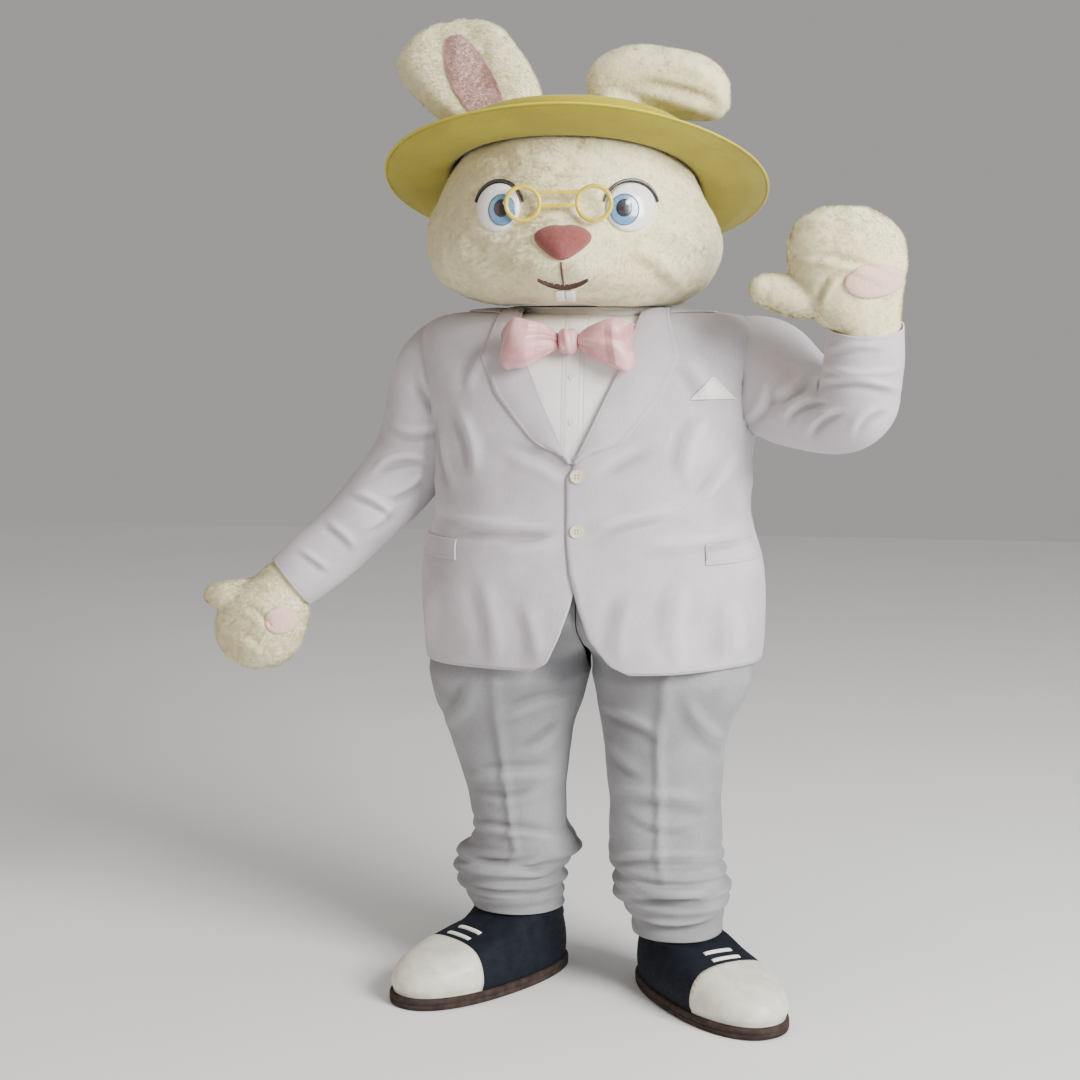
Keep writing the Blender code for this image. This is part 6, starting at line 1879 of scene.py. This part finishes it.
def placed(points, side):
    heel, heading, sign = SHOES[side]
    turn = -math.pi / 2 + sign * math.radians(heading)
    c, s = math.cos(turn), math.sin(turn)
    x, y, z = points[..., 0], points[..., 1] * sign, points[..., 2]
    return np.stack((heel.x + x * c - y * s, heel.y + x * s + y * c, heel.z + z), axis=-1)


def shoe_half(name, grid, side, slot, keep_toe):
    """One part of the upper, cut off at the cap's line across the shoe."""
    obj = shell(name, grid, SHOE_WALL, slot, closed=True, edge=None)
    cut = placed(np.array([(CAP_LINE, 0.0, 0.0), (CAP_LINE + 1, 0.0, 0.0)]), side)

    def halved(bm):
        made = bmesh.ops.bisect_plane(
            bm, geom=[*bm.verts, *bm.edges, *bm.faces], plane_co=Vector(cut[0]) - Vector((0, 0, NECK_Z)),
            plane_no=Vector(cut[1] - cut[0]), clear_inner=keep_toe, clear_outer=not keep_toe)
        rim = [e for e in made["geom_cut"] if isinstance(e, bmesh.types.BMEdge)]
        bmesh.ops.holes_fill(bm, edges=rim)
        turn_outward(bm)

    remade(obj, halved)
    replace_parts(obj, name)
    return obj


def build_shoes():
    for side in ("left", "right"):
        heading = SHOES[side][1]
        base = UPPER[0]
        profile = ((0.0, -0.004), (0.0006, -0.001), (0.0022, 0.0012), (0.006, 0.0020), (0.0098, 0.0022),
                   (0.0106, 0.0010), (0.0118, 0.0010), (0.0126, 0.0022), (0.0180, 0.0020), (0.0208, 0.0010),
                   (SOLE_HEIGHT - 0.0002, -0.0010), (SOLE_HEIGHT, -0.010))
        rows = [(h, base[1] + 0.006 + g, base[2] - 0.004 - g, base[3] + 0.004 + g) for h, g in profile]
        rings = [placed(shoe_ring(row, heading), side) for row in rows]
        sole = closed_loft(f"shoe_{side}_sole", rings, "sole_dark")
        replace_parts(sole, f"shoe_{side}_sole")
        rings = [placed(shoe_ring(row, heading), side) for row in UPPER]
        hem = LEGS[side][0][0][0]
        turns = -math.pi / 2 + math.tau * np.arange(96) / 96
        for rise, tight in ((-0.002, 0.0050), (0.014, 0.0005)):
            ring = leg_surface(side, turns, np.full(96, max(hem + rise, hem)))
            way = unit(ring - ring.mean(axis=0))
            ring = ring - way * (SUIT_WALL * 1.15 + tight)
            ring[:, 2] = hem + rise
            rings.append(ring)
        table = np.array(rings).reshape(len(rings), -1)
        upper = rows_at(table, np.linspace(0, len(rings) - 1, 66)).reshape(66, 96, 3)
        upper[..., 2] = np.maximum(upper[..., 2], UPPER[0][0])
        lumps = unevenness(upper, LOOK_SEED + 50) * 0.0008
        normals = outward_normals(upper, True, None)
        upper = upper + normals * lumps[..., None]
        quarter = shoe_half(f"shoe_{side}_quarter", upper, side, "shoe_navy", False)
        proud = 0.0018 * smooth((upper[..., 2] - 0.026) / 0.01)
        shoe_half(f"shoe_{side}_toe_cap", upper + normals * proud[..., None], side, "shoe_cream", True)
        build_laces(side, surface_of([quarter]))


def build_laces(side, tree):
    """Two lace bars that lie across the shoe's tongue."""
    for number, along in enumerate((0.246, 0.270)):
        rings = []
        for across in np.linspace(-0.030, 0.030, 30):
            over, under = [], []
            for edge in np.linspace(-1, 1, 9):
                top = placed(np.array((along + edge * 0.0048 + 0.004 * number, across, 0.4)), side)
                spot, normal, _, _ = tree.ray_cast(Vector(top), Vector((0, 0, -1)))
                normal = np.array(normal if normal.z > 0 else -normal)
                ends = 1 - 0.5 * (abs(across) / 0.03) ** 6
                high = 0.0006 + 0.0030 * math.sqrt(max(0.0, 1 - edge * edge)) * ends
                over.append(np.array(spot) + normal * high)
                under.append(np.array(spot) - normal * 0.0008)
            rings.append([*under, *reversed(over)])
        name = f"shoe_{side}_lace_{number + 1}"
        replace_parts(closed_loft(name, rings, "lace"), name)


def build_gloves():
    tables = {
        "left": (MITT_LEFT, THUMB_LEFT, GLOVE_LEFT_FOLDS),
        "right": (MITT_RIGHT, THUMB_RIGHT, GLOVE_RIGHT_FOLDS),
    }
    pads = {"left": ((0.540, 1.374), (0.050, 0.029), 0.12), "right": ((-0.590, 0.716), (0.028, 0.025), 0.0)}
    sources = []
    for side, (hand_table, thumb_table, folds) in tables.items():
        ends = len(hand_table) - 1
        mitt = lowered(limb_rings(hand_table, np.linspace(0, ends, 70), 80), PLUSH_SINK)
        hand = closed_loft(f"glove_{side}", mitt, "plush")
        finger = lowered(limb_rings(thumb_table, np.linspace(0, 4, 50), 60), PLUSH_SINK)
        thumb = closed_loft(f"thumb_{side}", finger, "plush")
        glove = merged([hand, thumb], 0.0034, "plush", rounds=6)
        crumple(glove, folds, mirrored(mirrored(folds, 0.01), 0.0), LOOK_SEED + 12)
        open_cuff(glove, hand_table)
        sources.append(mesh_source(glove))
        centre, half, turned = pads[side]
        tree = surface_of([glove])
        pad = patch(f"palm_pad_{side}", tree, centre, oval(*half, turned), dome(0.0075, 0.0020, 0.5),
                    "pad_pink", 110, 14, lift=0.0026)
        thick = glove.modifiers.new("wall", "SOLIDIFY")
        thick.thickness, thick.offset = MITT_WALL - PILE, -1
        select_only(glove)
        bpy.ops.object.modifier_apply(modifier="wall")
        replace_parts(glove, f"glove_{side}")

    def combed(root):
        left = (root[:, 0] > 0)[:, None]
        return np.where(left, np.array((0.0, -0.2, 1.0)), np.array((-0.7, -0.2, -0.7)))

    def covered(root, normal):
        found = np.zeros(len(root), bool)
        for (x, z), (a, b), _ in pads.values():
            found |= (normal[:, 1] < 0.2) & (((root[:, 0] - x) / a) ** 2 + ((root[:, 2] - z) / b) ** 2 < 0.94)
        return found

    strands("glove_fur", "plush", sources, *GLOVE_FUR, LOOK_SEED + 60, combed, covered)


def open_cuff(glove, table):
    """Cuts the closed form open across its first rings, where the hand goes in."""
    start, ahead = table[0][:3], table[1][:3]
    way = Vector(unit(ahead - start))
    place = Vector(start) + way * 0.004 - Vector((0, 0, NECK_Z))

    def opened(bm):
        bmesh.ops.bisect_plane(bm, geom=[*bm.verts, *bm.edges, *bm.faces], plane_co=place, plane_no=way,
                               clear_inner=True)

    remade(glove, opened)
    glove.data.update()


class CostumeSettings(bpy.types.PropertyGroup):
    """Sizes of the picture's stage."""

    floor_size: FloatProperty(
        name="Floor size", description="Side of the pale floor", default=14.0, min=4.0, unit="LENGTH")
    floor_height: FloatProperty(
        name="Floor height", description="Height of the floor under the soles", default=-NECK_Z,
        unit="LENGTH")
    key_power: FloatProperty(
        name="Key light", description="Power of the soft light on the viewer's right", default=500.0, min=0.0,
        unit="POWER")
    fill_power: FloatProperty(
        name="Fill light", description="Power of the weak warm light on the viewer's left", default=26.0,
        min=0.0, unit="POWER")
    top_power: FloatProperty(
        name="Top light", description="Power of the soft light overhead", default=50.0, min=0.0, unit="POWER")
    camera_distance: FloatProperty(
        name="Camera distance", description="Distance from the figure's axis", default=4.0, min=2.0,
        unit="LENGTH")
    camera_turn: FloatProperty(
        name="Camera turn", description="Angle round the figure, towards its left",
        default=math.radians(8.0), subtype="ANGLE")
    with_stage: BoolProperty(
        name="Stage", description="Add the floor, the lights and the camera", default=True)


class CostumePiece:
    """Shared wording of the operators, which all build one group of pieces."""

    bl_options = {"REGISTER", "UNDO"}

    def execute(self, context):
        if bpy.context.mode != "OBJECT":
            bpy.ops.object.mode_set(mode="OBJECT")
        self.build(context)
        context.view_layer.update()
        return {"FINISHED"}


class COSTUME_OT_jacket(CostumePiece, bpy.types.Operator):
    """Build the jacket's fronts, backs, sleeves, lapels, collar and pockets"""

    bl_idname = "costume.jacket"
    bl_label = "Jacket"

    def build(self, context):
        for side in ("left", "right"):
            jacket_panel(side, "front")
            jacket_panel(side, "back")
            sleeve(side)
            lapel(side)
            pocket_flap(side)
        collar_back()
        pocket_square()


class COSTUME_OT_shirt(CostumePiece, bpy.types.Operator):
    """Build the shirt's front and its standing collar"""

    bl_idname = "costume.shirt"
    bl_label = "Shirt"

    def build(self, context):
        shirt_front()
        shirt_collar()


class COSTUME_OT_buttons(CostumePiece, bpy.types.Operator):
    """Build the jacket's and the shirt's buttons"""

    bl_idname = "costume.buttons"
    bl_label = "Buttons"

    def build(self, context):
        build_buttons()


class COSTUME_OT_bow_tie(CostumePiece, bpy.types.Operator):
    """Build the satin bow tie: two wings and a knot"""

    bl_idname = "costume.bow_tie"
    bl_label = "Bow tie"

    def build(self, context):
        build_bow_tie()


class COSTUME_OT_trousers(CostumePiece, bpy.types.Operator):
    """Build the trousers' four panels"""

    bl_idname = "costume.trousers"
    bl_label = "Trousers"

    def build(self, context):
        for side in ("left", "right"):
            trouser_panel(side, "front")
            trouser_panel(side, "back")


class COSTUME_OT_shoes(CostumePiece, bpy.types.Operator):
    """Build both shoes: soles, quarters, toe caps and lace bars"""

    bl_idname = "costume.shoes"
    bl_label = "Shoes"

    def build(self, context):
        build_shoes()


class COSTUME_OT_gloves(CostumePiece, bpy.types.Operator):
    """Build both plush gloves with their palm pads"""

    bl_idname = "costume.gloves"
    bl_label = "Gloves"

    def build(self, context):
        build_gloves()


class COSTUME_OT_head(CostumePiece, bpy.types.Operator):
    """Build the plush head with its fur"""

    bl_idname = "costume.head"
    bl_label = "Head"

    def build(self, context):
        build_head()


class COSTUME_OT_face(CostumePiece, bpy.types.Operator):
    """Build the eyes, nose, mouth, teeth and glasses"""

    bl_idname = "costume.face"
    bl_label = "Face"

    def build(self, context):
        build_face()


class COSTUME_OT_hat(CostumePiece, bpy.types.Operator):
    """Build the felt hat's brim and crown"""

    bl_idname = "costume.hat"
    bl_label = "Hat"

    def build(self, context):
        build_hat()


class COSTUME_OT_ears(CostumePiece, bpy.types.Operator):
    """Build the upright ear, its pink inside and the flopped ear"""

    bl_idname = "costume.ears"
    bl_label = "Ears"

    def build(self, context):
        build_ears()


class COSTUME_OT_stage(CostumePiece, bpy.types.Operator):
    """Build the pale floor, the studio lights and the camera"""

    bl_idname = "costume.stage"
    bl_label = "Stage"

    def build(self, context):
        build_stage(context.scene.costume)


def area_light(name, power, size, place, target, colour):
    data = bpy.data.lights.new(name, "AREA")
    data.energy, data.size, data.color = power, size, colour
    lamp = bpy.data.objects.new(name, data)
    lamp.location = place
    lamp.rotation_euler = (Vector(target) - Vector(place)).to_track_quat("-Z", "Y").to_euler()
    bpy.context.scene.collection.objects.link(lamp)
    return lamp


def build_stage(settings):
    half = settings.floor_size / 2
    mesh = bpy.data.meshes.new("floor")
    z = settings.floor_height
    square = [(-half, -half, z), (half, -half, z), (half, half, z), (-half, half, z)]
    mesh.from_pydata(square, [], [(0, 1, 2, 3)])
    floor = bpy.data.objects.new("floor", mesh)
    bpy.context.scene.collection.objects.link(floor)
    pale = bpy.data.materials.new("floor_pale")
    pale.use_nodes = True
    graph = Graph(pale.node_tree)
    shader = pale.node_tree.nodes["Principled BSDF"]
    cloudy = graph.noise(graph.objects_place(), 3.0)
    graph.feed(shader.inputs["Base Color"], graph.mix(cloudy, *FLOOR_TONES))
    shader.inputs["Roughness"].default_value = FLOOR_ROUGHNESS
    mesh.materials.append(pale)
    powers = (settings.key_power, settings.fill_power, settings.top_power)
    lamps = [area_light(name, power, *values) for (name, values), power in zip(LAMPS.items(), powers)]
    world = bpy.context.scene.world or bpy.data.worlds.new("studio")
    bpy.context.scene.world = world
    world.use_nodes = True
    sky = world.node_tree.nodes.get("Background")
    sky.inputs[0].default_value = SKY_COLOUR
    sky.inputs[1].default_value = SKY_STRENGTH
    data = bpy.data.cameras.new("camera")
    data.sensor_width = SENSOR
    data.lens = SENSOR * settings.camera_distance / PICTURE_WIDTH
    data.shift_y = CAMERA_SHIFT
    camera = bpy.data.objects.new("camera", data)
    turn = settings.camera_turn
    away = settings.camera_distance
    camera.location = (math.sin(turn) * away, -math.cos(turn) * away, CAMERA_HEIGHT)
    camera.rotation_euler = (math.radians(90 - CAMERA_DIP), 0.0, turn + math.radians(CAMERA_PAN))
    bpy.context.scene.collection.objects.link(camera)
    bpy.context.scene.camera = camera


class COSTUME_PT_panel(bpy.types.Panel):
    """Lists the costume's pieces in the 3D view's sidebar"""

    bl_label = "Rabbit mascot costume"
    bl_idname = "COSTUME_PT_panel"
    bl_space_type = "VIEW_3D"
    bl_region_type = "UI"
    bl_category = "Costume"

    def draw(self, context):
        for operator in OPERATORS:
            self.layout.operator(operator.bl_idname)
        settings = context.scene.costume
        for key in settings.__annotations__:
            self.layout.prop(settings, key)


OPERATORS = (
    COSTUME_OT_jacket, COSTUME_OT_shirt, COSTUME_OT_buttons, COSTUME_OT_bow_tie, COSTUME_OT_trousers,
    COSTUME_OT_shoes, COSTUME_OT_gloves, COSTUME_OT_head, COSTUME_OT_face, COSTUME_OT_hat, COSTUME_OT_ears,
    COSTUME_OT_stage,
)


def register():
    for made in (CostumeSettings, *OPERATORS, COSTUME_PT_panel):
        bpy.utils.register_class(made)
    bpy.types.Scene.costume = PointerProperty(type=CostumeSettings)


def unregister():
    del bpy.types.Scene.costume
    for made in reversed((CostumeSettings, *OPERATORS, COSTUME_PT_panel)):
        bpy.utils.unregister_class(made)


def corners(found):
    return [[float(v) for v in corner] for corner in found]


def main():
    register()
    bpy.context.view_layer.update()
    bpy.ops.costume.jacket()
    bpy.ops.costume.shirt()
    bpy.ops.costume.buttons()
    bpy.ops.costume.bow_tie()
    bpy.ops.costume.trousers()
    bpy.ops.costume.shoes()
    bpy.ops.costume.gloves()
    bpy.ops.costume.head()
    bpy.ops.costume.face()
    bpy.ops.costume.hat()
    bpy.ops.costume.ears()
    if bpy.context.scene.costume.with_stage:
        bpy.ops.costume.stage()


if __name__ == "__main__":
    main()
